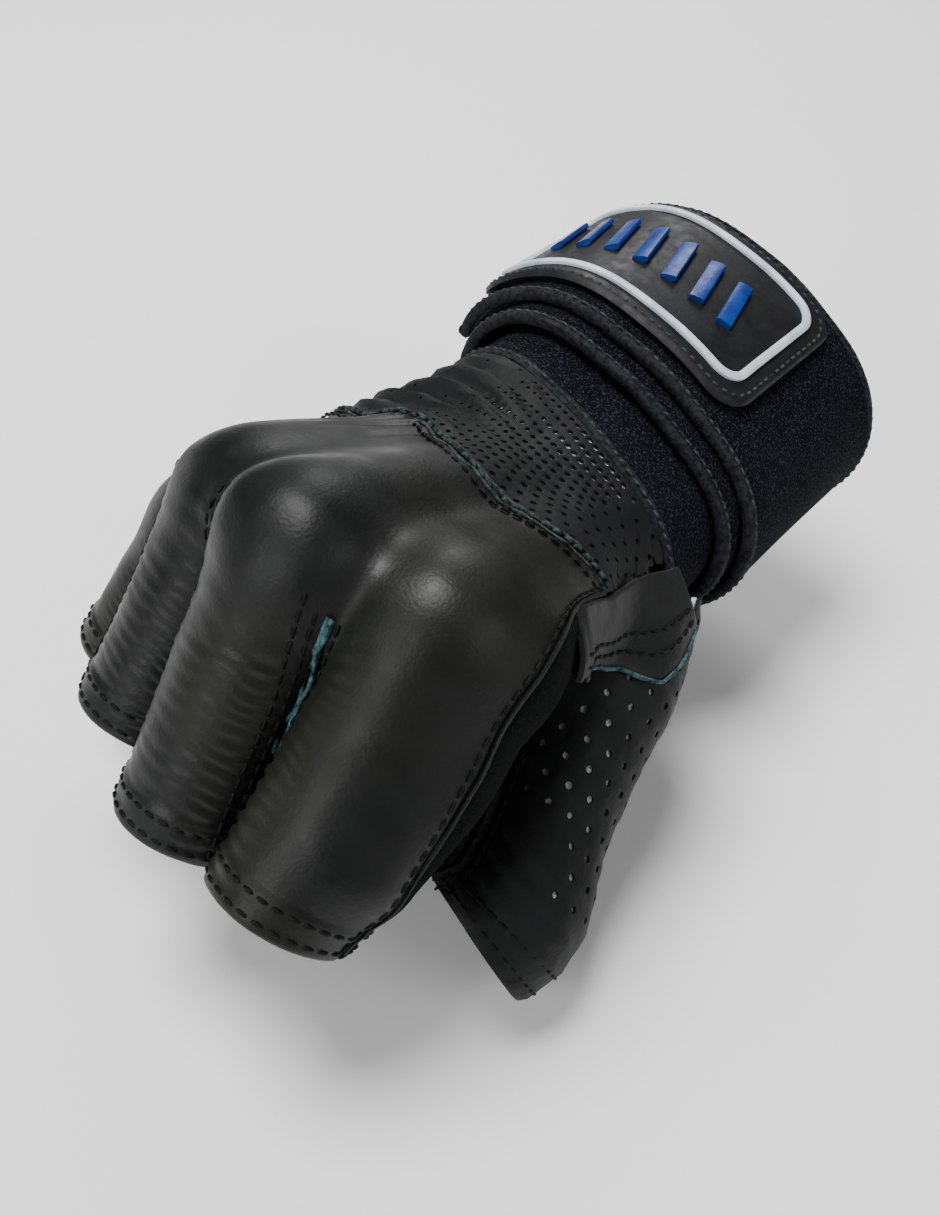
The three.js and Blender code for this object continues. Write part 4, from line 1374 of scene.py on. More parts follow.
@dataclass
class KnuckleLeather:
    """Smooth leather over the knuckles and finger backs, and the suede of the palm."""

    seam_rows: int = 26
    bend_rows: int = 46
    stall_rows: int = 84
    columns: int = 22
    hem_rise: float = 0.35
    pucker: float = 0.16
    tension: int = 60

    def rows(self) -> Array:
        """Rows of bend and stall.

        Returns:
            The rows.
        """
        return np.concatenate([np.linspace(1, 2, self.bend_rows + 1), np.linspace(2, 3, self.stall_rows + 1)[1:]])

    def stall_mm(self, i: int) -> float:
        """Length of a stall past its bend.

        Args:
            i: Number of the finger, 0 for the index finger.

        Returns:
            Length in millimetres.
        """
        return FINGERS[i].stall * STALL_LENGTH - HAND.lines[i]["setback"]

    def relief(self, i: int, row: Array, u: Array, p: Array, palm: bool) -> Array:
        """Folds, puckers and hems of the leather, as a height at each point.

        Args:
            i: finger number.
            row: row of each point.
            u: place across the finger.
            p: the points.
            palm: True on the palm side.

        Returns:
            Heights in millimetres.
        """
        from_hem = (3 - row) * self.stall_mm(i)
        along = np.where(row < 1, row * 62, 62 + (row - 1) * 24 + np.maximum(row - 2, 0) * 12)
        over = (2 * i + 1 + u) / 8
        h = 0.22 * grain(p, 13, 3) + 0.1 * grain(p, 5.5, 5)
        hem = smooth((HEM_WIDTH - from_hem) / 1.2) * np.where(row > 2, 1, 0)
        h += hem * self.hem_rise
        h -= np.where(row > 2, 0.55 * np.clip(1 - from_hem / 1.1, 0, 1) ** 2, 0)
        for side, k in ((1, i), (-1, i - 1)):
            if k < 0 or k > 2:
                continue
            near = np.clip((1 - side * u) * 11.5, 0, 40)
            slit = HAND.slit_share(k, row)
            start = smooth((row - 0.9 - SLIT_STEP[k] / BEND_STEPS) / 0.2)
            wavy = np.sin(2 * math.pi * along / 2.3 + 2.6 * grain(p, 5, 11 + k) + 0.12 * near)
            strength = mix(0.6, 1.0 if side < 0 and not palm else 0.6, slit)
            h += strength * self.pucker * wavy * start * np.exp(-((near - 3.5) / 4.2) ** 2)
        if not palm:
            middle = smooth((over - 0.27) / 0.1) * smooth((0.9 - over) / 0.1) * smooth((row - 1.3) / 0.5)
            h += 0.04 * middle * np.sin(2 * math.pi * along / 3.1 + 3 * grain(p, 7, 8) + over * 20)
            gather = smooth((over - 0.42) / 0.3) * np.exp(-((row - 0.75) / 0.22) ** 2)
            h += 0.22 * gather * np.sin(2 * math.pi * over * 17 + 2 * grain(p, 9, 9))
        return h

    def surface(self, palm: bool) -> Sheet:
        """Outer surface of the back leather or the palm suede, drawn taut over the valleys.

        Args:
            palm: True for the palm suede.

        Returns:
            The surface, its fingers joined up to the slits.
        """
        u = np.linspace(-1, 1, self.columns * 2 + 1)
        points, heights, taut, quads, last = [], [], [], [], None
        base = 0
        for i in range(4):
            if palm:
                rows = np.concatenate([np.linspace(0, 1, self.seam_rows * 2)[:-1], self.rows()])
                row = np.repeat(rows[:, None], len(u), 1)
            else:
                lead = np.linspace(0, 1, self.seam_rows)[:-1, None]
                row = np.vstack([mix(seam_row(i, u)[None, :], 1.0, lead),
                                 np.repeat(self.rows()[:, None], len(u), 1)])
            uu = np.repeat(u[None, :], len(row), 0)
            p = HAND.shell(i, row.ravel(), uu.ravel(), palm, GLOVE_LEVEL)
            ids = base + np.arange(row.size).reshape(row.shape)
            if last is not None:
                joined = HAND.slit_share(i - 1, row[:, 0]) <= 0
                ids[joined, 0] = last[joined, -1]
            last = ids
            base += row.size
            points.append(p)
            heights.append(self.relief(i, row.ravel(), uu.ravel(), p, palm))
            taut.append(self.tautness(i, row, uu, palm).ravel())
            a, b, c, d = ids[:-1, :-1], ids[:-1, 1:], ids[1:, 1:], ids[1:, :-1]
            quads.append(np.stack([a, d, c, b], axis=-1).reshape(-1, 4))
        sheet = Sheet(np.vstack(points), [tuple(q) for q in np.vstack(quads).tolist()])
        weight, q = np.concatenate(taut)[:, None], np.vstack(quads)
        ends = np.concatenate([q[:, [k, (k + 1) % 4]] for k in range(4)])
        count = np.maximum(np.bincount(ends[:, 0], minlength=base), 1)[:, None]
        for _ in range(self.tension):
            mean = np.stack([np.bincount(ends[:, 0], sheet.points[ends[:, 1], k], base)
                             for k in range(3)], axis=1) / count
            sheet.points = mix(sheet.points, mean, weight * 0.8)
        sheet = sheet.turned_out(HAND.hand)
        sheet.points = sheet.points + sheet.normals() * np.concatenate(heights)[:, None]
        return sheet.welded(0.001)

    def tautness(self, i: int, row: Array, u: Array, palm: bool) -> Array:
        """Share by which the sheet is drawn taut: none at its edges and slits.

        Args:
            i: Number of the finger, 0 for the index finger.
            row: Row along the stall.
            u: Place across, from -1 to 1.
            palm: Whether the palm's side is meant.

        Returns:
            Share at each place.
        """
        start = row[:1] if palm else seam_row(i, u[0])[None, :]
        share = smooth((row - start) / 0.12)
        for side, k in ((1, i), (-1, i - 1)):
            if k < 0 or k > 2:
                share = share * smooth((1 - side * u) / 0.15)
            else:
                near = smooth((side * u - 0.2) / 0.5)
                slit = smooth((row - 0.62 - SLIT_STEP[k] / BEND_STEPS) / 0.3)
                share = share * (1 - near * slit)
        return share * (1 - smooth((row - 1.9) / 0.4))

    def seam(self, i: int, row: Array, u: Array, palm: bool = False) -> Seam:
        """A line on the shell through rows and places across a finger.

        Args:
            i: Number of the finger, 0 for the index finger.
            row: Row along the stall.
            u: Place across, from -1 to 1.
            palm: Whether the palm's side is meant.

        Returns:
            The line.
        """
        row, u = np.broadcast_arrays(np.asarray(row, float), np.asarray(u, float))
        p = HAND.shell(i, row, u, palm, GLOVE_LEVEL)
        p = HAND.shell(i, row, u, palm, GLOVE_LEVEL + self.relief(i, row, u, p, palm))
        inner = HAND.shell(i, row, u, palm, GLOVE_LEVEL - 1.2)
        d = unit(p - inner)
        return Seam(p, d)

    def build(self) -> None:
        """Makes the leather, the suede, their seams and hems.

        Returns:
            None.
        """
        back = self.surface(False).turned_out(HAND.hand)
        make_piece("knuckle_leather", back.thickened(LEATHER), Finish.LEATHER.material(),
                   ["back_leather"])
        palm = self.surface(True)
        thumb = HAND.thumb(palm.points)
        palm.keep(thumb > GLOVE_LEVEL - 3.4)
        palm = palm.welded(0.001).turned_out(HAND.hand)
        make_piece("palm_leather", palm.thickened(LEATHER), Finish.SUEDE.material(),
                   ["palm_suede"])
        log.info("areas: back %.0f, palm %.0f mm2", back.area(), palm.area())
        self.sew()

    def sew(self) -> None:
        """Stitch rows and raw edges along slits, hems and the index crease.

        Returns:
            None.
        """
        black, raw, grey = [], [], []
        for k in range(3):
            start = 1 + SLIT_STEP[k] / BEND_STEPS
            for i, side in ((k, 1), (k + 1, -1)):
                for inset, lead in ((1.9, 0.06), (4.0, 0.1)):
                    if k == 0 and side > 0 and inset > 2:
                        continue
                    rows = np.linspace(start - lead, 2.97, 80)
                    reach = FINGERS[i].girth * FINGER_RADIUS + GLOVE_LEVEL
                    reach *= math.radians(BACK_EDGE[k, 0 if side > 0 else 1])
                    black.append(stitches(self.seam(i, rows, side * (1 - inset / reach))))
                if k == 2:
                    edge = self.seam(i, np.linspace(start - 0.02, 2.97, 60), side * 0.97)
                    raw.append(band(edge.moved(0, -0.3), 0.8, 0.75, 0.3, 20 + k))
            if k == 0:
                rows = np.linspace(start - 0.06, 2.42, 70)
                a, b = self.seam(0, rows, 0.96), self.seam(1, rows, -0.94)
                middle = Seam(mix(a.points, b.points, 0.55), unit(a.out + b.out))
                raw += [band(middle.moved(s, -0.75), 0.75, 1.1, 0.7, 24 + m)
                        for m, s in enumerate((-0.45, 0.4))]
        for i in range(4):
            u = np.linspace(-0.97, 0.97, 60)
            length = self.stall_mm(i)
            for inset in (1.9, 5.2):
                black.append(stitches(self.seam(i, np.full(60, 3 - inset / length), u)))
                grey.append(stitches(self.seam(i, np.full(60, 3 - inset / length), u, True)))
        rows = np.linspace(seam_row(0, np.array([-1.0]))[0] + 0.04, 2.95, 110)
        crease = self.seam(0, rows, -0.995)
        black.append(band(crease, 1.0, 0.35, 0.1, 30))
        black.append(stitches(self.seam(0, rows, -0.93), radius=0.3))
        rows = np.linspace(0.1, 2.95, 130)
        black.append(band(self.seam(3, rows, 0.995), 1.1, 0.4, 0.1, 31))
        for inset in (2.0, 4.4):
            black.append(stitches(self.seam(3, rows[30:], 1 - inset / 12)))
        make_piece("glove_stitches", loose_parts(black), Finish.BLACK_THREAD.material())
        make_piece("palm_stitches", loose_parts(grey), Finish.BLACK_THREAD.material())
        make_piece("slit_raw_edges", loose_parts(raw), Finish.RAW_EDGE.material())


@dataclass
class SlitWalls:
    """Knit walls between the fingers."""

    rows: int = 60
    columns: int = 16
    rib_pitch: float = 1.3

    def wall(self, k: int, i: int, side: int) -> Array:
        """One side of a slit as a grid of points.

        Args:
            k: Number of the slit, 0 beside the index finger.
            i: Number of the finger, 0 for the index finger.
            side: Side of the finger.

        Returns:
            The grid.
        """
        rows = np.linspace(1 + SLIT_STEP[k] / BEND_STEPS, 3, self.rows)
        q = np.linspace(0, 1, self.columns)
        row, qq = [a.ravel() for a in np.meshgrid(rows, q, indexing="ij")]
        share = HAND.slit_share(k, row)[:, None]
        rib = 0.12 * np.sin(2 * math.pi * qq * 16 / self.rib_pitch)
        top_edge = BACK_EDGE[k, 0 if side > 0 else 1] + 1.5
        own = HAND.own_point(i, row, np.radians(mix(top_edge, KNIT_END, qq)) * side,
                             GLOVE_LEVEL - 0.3 + rib * share[:, 0])
        low = GLOVE_LEVEL - LEATHER - GAP
        one = np.ones_like(row)
        m = share[:, 0] < 1
        crotch = own.copy()
        top = HAND.joined_point(k, row[m], one[m], False, low)
        bottom = HAND.joined_point(k, row[m], one[m], True, low)
        crotch[m] = mix(top, bottom, qq[m][:, None]) - HAND.dividers[k][1] * side * GAP / 2
        return mix(crotch, own, share).reshape(self.rows, self.columns, 3)

    def build(self) -> None:
        """Makes the three walls.

        Returns:
            None.
        """
        names = ("index_middle", "middle_ring", "ring_little")
        for k, name in enumerate(names):
            near, far = self.wall(k, k, 1), self.wall(k, k + 1, -1)
            sheet = Sheet()
            sheet.add_grid(near, flip=True)
            sheet.add_grid(far)
            sheet.add_grid(np.stack([near[0], far[0]]))
            sheet = sheet.welded(0.03)
            closed = sheet.thickened(KNIT * 0.8)
            make_piece(f"knit_wall_{name}", closed, Finish.KNIT.material(), [f"fourchette_{name}"])


@dataclass
class PiercedPanel:
    """Leather with rows of round holes, built cell by cell round each hole."""

    name: str
    node: str
    lining_name: str
    lining_node: str
    across: int
    along: int
    radius: float
    place: Callable[[Array, Array, Array], Array]
    form: Callable[[Array], Array]
    kept: Callable[[Array], Array]
    openness: Callable[[Array, Array], Array]
    relief: Callable[[Array, Array, Array], Array]
    other: Callable[[Array], Array]
    lining_end: float = 1.0
    thickness: float = 0.75

    def at(self, x: Array, y: Array) -> Array:
        """Points of the outer surface at shares across and along.

        Args:
            x: Share across.
            y: Share along.

        Returns:
            Points in millimetres.
        """
        x, y = np.clip(np.ravel(x), 0, 1), np.clip(np.ravel(y), 0, 1)
        p = self.place(x, y, np.full(len(x), GLOVE_LEVEL))
        return self.place(x, y, GLOVE_LEVEL + self.relief(x, y, p))

    def surface(self) -> Sheet:
        """The pierced surface.

        Returns:
            The surface.
        """
        sheet = Sheet()
        corner = np.array([[0, 0], [0.5, 0], [1, 0], [1, 0.5], [1, 1], [0.5, 1], [0, 1], [0, 0.5]])
        angle = np.arctan2(corner[:, 1] - 0.5, corner[:, 0] - 0.5)
        cells = []
        for j in range(self.along):
            shift = 0.5 * (j % 2)
            cells += [(c + shift, j) for c in range(self.across - (j % 2))]
        cell = np.array(cells)
        size = np.array([1 / self.across, 1 / self.along])
        centre = (cell + 0.5) * size
        mid = self.at(centre[:, 0], centre[:, 1])
        step = 0.02
        ex = self.at(centre[:, 0] + step * size[0] * 5, centre[:, 1]) - mid
        ey = self.at(centre[:, 0], centre[:, 1] + step * size[1] * 5) - mid
        kx = np.linalg.norm(ex, axis=1) / (step * 5)
        ky = np.linalg.norm(ey, axis=1) / (step * 5)
        open_share = self.openness(centre[:, 0], centre[:, 1])
        rings = []
        for share in (0.0, 0.45, 1.0):
            square = (corner - 0.5)[None, :, :]
            scale = np.stack([self.radius / np.maximum(kx, 0.5), self.radius / np.maximum(ky, 0.5)], 1)
            scale = scale * open_share[:, None]
            circle = np.stack([np.cos(angle), np.sin(angle)], 1)[None, :, :] * scale[:, None, :]
            uv = centre[:, None, :] + (mix(circle, square, share)) * size
            rings.append(self.at(uv[:, :, 0], uv[:, :, 1]).reshape(len(cell), 8, 3))
        block = np.stack(rings, axis=1)
        for k in range(len(cell)):
            if open_share[k] > 0.35:
                sheet.add_grid(block[k], wrap=True)
                continue
            points = np.vstack([block[k, 2], block[k, 1], mid[k]])
            quads = [(m + 8, m, (m + 1) % 8, (m + 1) % 8 + 8) for m in range(8)]
            sheet.add(points, quads + [(16, m + 8, (m + 1) % 8 + 8) for m in range(8)])
        for j in range(1, self.along, 2):
            for x0, x1 in ((0, 0.5), (self.across - 0.5, self.across)):
                xs = np.array([[x0, x1]] * 3) / self.across
                ys = np.array([[j, j], [j + 0.5, j + 0.5], [j + 1, j + 1]]) / self.along
                sheet.add_grid(self.at(xs, ys).reshape(3, 2, 3), flip=True)
        return sheet

    def build(self, finish: Finish) -> None:
        """Makes the panel and the cloth behind its holes.

        Args:
            finish: The leather's finish.

        Returns:
            None.
        """
        sheet = self.surface()
        sheet = sheet.welded(0.06)
        sheet.keep(self.kept(sheet.points))
        sheet = sheet.welded(0.001).turned_out(self.form)
        make_piece(self.name, sheet.thickened(self.thickness, 0.1), finish.material(),
                   [self.node], 60)
        x, y = np.meshgrid(np.linspace(0, 1, 60), np.linspace(0, self.lining_end, 60))
        base = self.place(x.ravel(), y.ravel(), np.full(3600, GLOVE_LEVEL))
        level = GLOVE_LEVEL + self.relief(x.ravel(), y.ravel(), base) - self.thickness - 0.06
        lining = Sheet()
        lining.add_grid(self.place(x.ravel(), y.ravel(), level).reshape(60, 60, 3))
        lining.keep(self.kept(lining.points) & (self.other(lining.points) > GLOVE_LEVEL + 0.2))
        lining = lining.welded(0.001).turned_out(self.form)
        make_piece(self.lining_name, lining.thickened(LINING, 0.05), Finish.GREY_CLOTH.material(),
                   [self.lining_node])
        log.info("%s area %.0f mm2", self.name, sheet.area())


@dataclass
class BackPanel:
    """Pierced leather between the knuckles and the cuff, with its raised seam."""

    across: int = 22
    along: int = 13
    hole: float = 0.62

    def place(self, x: Array, y: Array, level: Array) -> Array:
        """Point at shares across the hand and along from cuff to seam.

        Args:
            x: Share across.
            y: Share along.
            level: Height over the form in millimetres.

        Returns:
            Points in millimetres.
        """
        out = np.zeros((len(x), 3))
        big = np.clip(x, 0, 1) * 8
        i = np.minimum((big / 2).astype(int), 3)
        for k in range(4):
            m = i == k
            if m.any():
                u = big[m] - 2 * k - 1
                out[m] = HAND.shell(k, y[m] * seam_row(k, u), u, False, level[m])
        return out

    def relief(self, x: Array, y: Array, p: Array) -> Array:
        """Gathers that run in from the little finger's side.

        Args:
            x: Share across.
            y: Share along.
            p: Points in millimetres.

        Returns:
            Height at each point.
        """
        gather = smooth((x - 0.45) / 0.4) * np.sin(math.pi * np.clip(y, 0, 1)) ** 0.7
        lines = np.sin(2 * math.pi * (y * 5.5 + 0.9 * x) + 1.8 * grain(p, 11, 41))
        lines = lines + 0.3 * np.sin(2 * math.pi * (y * 15 + 2 * x) + 2.4 * grain(p, 6, 44))
        h = 0.75 * gather * lines + 0.3 * grain(p, 6, 42) + 0.12 * grain(p, 2.6, 43)
        return h * np.clip(np.minimum(y, 1 - y) * 9, 0, 1) - 0.25

    def openness(self, x: Array, y: Array) -> Array:
        """Share by which each hole stands open.

        Args:
            x: Share across.
            y: Share along; not used.

        Returns:
            Share for each hole.
        """
        return 1 - 0.5 * smooth((x - 0.4) / 0.4)

    def seam(self, y: float, level: float = 0.0, count: int = 220, start: float = 0.005) -> Seam:
        """Line across the hand at a share from cuff to seam.

        Args:
            y: Share along.
            level: Height over the form in millimetres.
            count: Number of points.
            start: Share where the line starts.

        Returns:
            The line.
        """
        x = np.linspace(start, 0.995, count)
        yy = np.full(count, y)
        p = self.place(x, yy, np.full(count, GLOVE_LEVEL + level))
        inner = self.place(x, yy, np.full(count, GLOVE_LEVEL - 1.0))
        return Seam(p, unit(p - inner))

    def build(self) -> None:
        """Makes the panel, its lining and its seam.

        Returns:
            None.
        """
        PiercedPanel(
            "pierced_back", "perforated_back", "back_cloth", "back_lining", self.across, self.along,
            self.hole, self.place, HAND.hand, lambda p: HAND.thumb(p) > GLOVE_LEVEL - 3.0,
            self.openness, self.relief, HAND.thumb).build(Finish.PIERCED)
        edge = self.seam(0.995)
        side = edge.axes()[1]
        inward = self.place(np.full(1, 0.5), np.full(1, 0.8), np.full(1, GLOVE_LEVEL))[0] - edge.points[110]
        sign = 1 if side[110] @ inward > 0 else -1
        black = stitches(edge.moved(-sign * 2.6, 0.1), 2.5, 0.75, 0.34)
        grey = stitches(edge.moved(0.1 * sign, 0.35), 2.1, 0.8, 0.42)
        raised = [band(edge.moved(0.75 * sign, -0.3), 0.55, 0.85, 0.55, 51),
                  band(edge.moved(-0.75 * sign, -0.2), 0.6, 0.5, 0.5, 52)]
        make_piece("back_seam_thread", black, Finish.BLACK_THREAD.material())
        make_piece("back_seam_stitches", grey, Finish.SEAM_EDGE.material())
        make_piece("back_seam_edge", loose_parts(raised), Finish.SEAM_EDGE.material())


@dataclass
class Thumb:
    """Thumb stall: pierced leather outside, suede inside, and the strip over its root."""

    across: int = 9
    along: int = 22
    hole: float = 0.66
    seam_outer: float = -100
    seam_inner: float = 80
    proud: float = 0.75
    strip: tuple = ((0.02, 44, 69), (0.2, 47, 79), (0.42, 55, 91), (0.65, 60, 100), (0.97, 58, 96))

    def place(self, x: Array, y: Array, level: Array) -> Array:
        """Point at shares round the thumb and along from root to opening.

        Args:
            x: Share across.
            y: Share along.
            level: Height over the form in millimetres.

        Returns:
            Points in millimetres.
        """
        return HAND.thumb_point(self.row(y), mix(self.seam_outer, self.seam_inner, x), level)

    def row(self, y: Array) -> Array:
        """Row of the thumb at a share of the length from its root to its opening.

        Args:
            y: Share along.

        Returns:
            The row.
        """
        steps = np.linalg.norm(np.diff(HAND.thumb_points, axis=0), axis=1)
        at = np.concatenate([[0], np.cumsum(steps)])
        start = 0.1 * at[1]
        return np.interp(start + np.asarray(y) * (at[3] - start), at, [0, 1, 2, 3])

    def relief(self, x: Array, y: Array, p: Array) -> Array:
        """Folds across the thumb, deeper near the opening's inner side.

        Args:
            x: Share across.
            y: Share along.
            p: Points in millimetres.

        Returns:
            Height at each point.
        """
        near = smooth((y - 0.66) / 0.2)
        folds = np.sin(2 * math.pi * (y * 17 + x * 2.4) + 2.5 * grain(p, 8, 61))
        left = smooth((x - 0.5) / 0.35)
        h = (0.1 + 0.3 * near * left) * folds + 0.28 * grain(p, 8, 62) + 0.14 * grain(p, 3.2, 63)
        hem = smooth((y - 0.92) / 0.015) * 0.3 - 0.5 * smooth((y - 0.985) / 0.015)
        return h * np.clip(np.minimum(x, 1 - x) * 12, 0, 1) + hem

    def openness(self, x: Array, y: Array) -> Array:
        """Share by which each hole stands open.

        Args:
            x: Share across.
            y: Share along.

        Returns:
            Share for each hole.
        """
        crinkled = smooth((y - 0.68) / 0.1) * smooth((x - 0.6) / 0.1)
        return (1 - crinkled) * (1 - smooth((y - 0.86) / 0.03))

    def outside(self, p: Array) -> Array:
        """True where the thumb stands clear of the hand, the cuff and the strip's cover.

        Args:
            p: Points in millimetres.

        Returns:
            Whether each point is outside.
        """
        line, table = HAND.lines[0], np.array(self.strip)
        reach = line["knuckle"] - line["hand"] * line["setback"] - line["start"]
        row = (p - line["start"]) @ reach / (reach @ reach)
        o, _, n, l = HAND.frames(0, np.clip(row, 0, 1))
        deg = np.degrees(np.arctan2(((p - o) * l).sum(1), ((p - o) * n).sum(1)))
        covered = (np.abs(deg) < np.interp(row, table[:, 0], table[:, 2]) - 5) & (row < 1)
        clear = HAND.hand(p) > GLOVE_LEVEL - 2.2
        return clear & ~covered & (p[:, 1] < -CUFF_EDGE + 4 + HAND.slope * p[:, 0])

    def strip_grid(self, rows: int, columns: int, level: float) -> Array:
        """Grid of the strip that runs from the wrist to the web.

        Args:
            rows: Rows along the strip.
            columns: Columns across the strip.
            level: Height over the form in millimetres.

        Returns:
            The grid.
        """
        table = np.array(self.strip)
        row = np.linspace(table[0, 0], table[-1, 0], rows)
        top = np.interp(row, table[:, 0], table[:, 1])
        low = np.interp(row, table[:, 0], table[:, 2])
        level = level - 1.1 * smooth((row - 0.9) / 0.07)
        c = np.linspace(0, 1, columns)
        o, _, n, l = HAND.frames(0, row)
        out = []
        for k in range(columns):
            a = -np.radians(mix(top, low, c[k]))
            d = n * np.cos(a)[:, None] - l * np.sin(a)[:, None]
            out.append(cast(o, d, level, HAND.both))
        return np.stack(out, axis=1)

    def build(self) -> None:
        """Makes the stall, the strip and their seams.

        Returns:
            None.
        """
        PiercedPanel(
            "pierced_thumb", "thumb_perforated", "thumb_cloth", "thumb_lining", self.across,
            self.along, self.hole, self.place, HAND.thumb, self.outside, self.openness,
            self.relief, HAND.hand, 0.95).build(Finish.PIERCED)
        y, x = np.meshgrid(np.linspace(0, 1, 90), np.linspace(0, 1, 50), indexing="ij")
        row, deg = self.row(y.ravel()), mix(self.seam_inner, self.seam_outer + 360, x.ravel())
        p = HAND.thumb_point(row, deg, GLOVE_LEVEL)
        level = GLOVE_LEVEL + 0.25 * grain(p, 7, 71) + 0.12 * grain(p, 3, 72) - 0.1
        inner = Sheet()
        inner.add_grid(HAND.thumb_point(row, deg, level).reshape(90, 50, 3))
        inner.keep(self.outside(inner.points))
        inner = inner.welded(0.001).turned_out(HAND.thumb)
        make_piece("thumb_palm_side", inner.thickened(LEATHER), Finish.SUEDE.material(),
                   ["thumb_suede"])
        self.sew()
        self.lay_strip()

    def sew(self) -> None:
        """Seams along the thumb and round its opening.

        Returns:
            None.
        """
        thread, edges = [], []
        rows = np.linspace(0.9, 2.97, 90)
        for deg in (self.seam_inner, self.seam_outer):
            line = HAND.thumb_point(rows, np.full(90, deg), GLOVE_LEVEL + 0.1)
            under = HAND.thumb_point(rows, np.full(90, deg), GLOVE_LEVEL - 1)
            keep = HAND.hand(line) > GLOVE_LEVEL + 0.3
            seam = Seam(line[keep], unit(line - under)[keep])
            edges.append(band(seam, 1.2, 0.45, 0.15, 81))
            thread += [stitches(seam.moved(s), radius=0.3) for s in (-2.2, 2.2)]
        deg = np.linspace(0, 360, 120)
        for inset in (0.25, 0.6):
            row = np.full(120, 3 - inset)
            line = HAND.thumb_point(row, deg, GLOVE_LEVEL + 0.25)
            under = HAND.thumb_point(row, deg, GLOVE_LEVEL - 1)
            thread.append(stitches(Seam(line, unit(line - under)), radius=0.3))
        make_piece("thumb_stitches", loose_parts(thread), Finish.BLACK_THREAD.material())
        make_piece("thumb_seams", loose_parts(edges), Finish.BINDING.material())

    def lay_strip(self) -> None:
        """The leather strip with its two stitch rows and raw lower edge.

        Returns:
            None.
        """
        grid = self.strip_grid(110, 30, GLOVE_LEVEL + self.proud)
        flat = grid.reshape(-1, 3)
        lift = 0.22 * grain(flat, 6, 91) + 0.12 * grain(flat, 2.6, 92)
        out = unit(flat - self.strip_grid(110, 30, GLOVE_LEVEL - 1).reshape(-1, 3))
        grid = (flat + out * lift[:, None]).reshape(110, 30, 3)
        sheet = Sheet()
        sheet.add_grid(grid)
        sheet = sheet.turned_out(HAND.both)
        make_piece("root_strip", sheet.thickened(LEATHER, 0.3), Finish.STRIP.material(),
                   ["thumb_strip"])
        outs = out.reshape(110, 30, 3)
        rows = slice(3, 107)
        thread = [stitches(Seam(grid[rows, c], outs[rows, c])) for c in (19, 24)]
        make_piece("strip_stitches", loose_parts(thread), Finish.BLACK_THREAD.material())
        edge = Seam(grid[rows, 29], outs[rows, 29])
        raw = band(edge.moved(0, -0.3), 0.8, 0.6, 0.3, 95)
        make_piece("strip_raw_edge", raw, Finish.RAW_EDGE.material())
        log.info("strip area %.0f mm2", sheet.area())


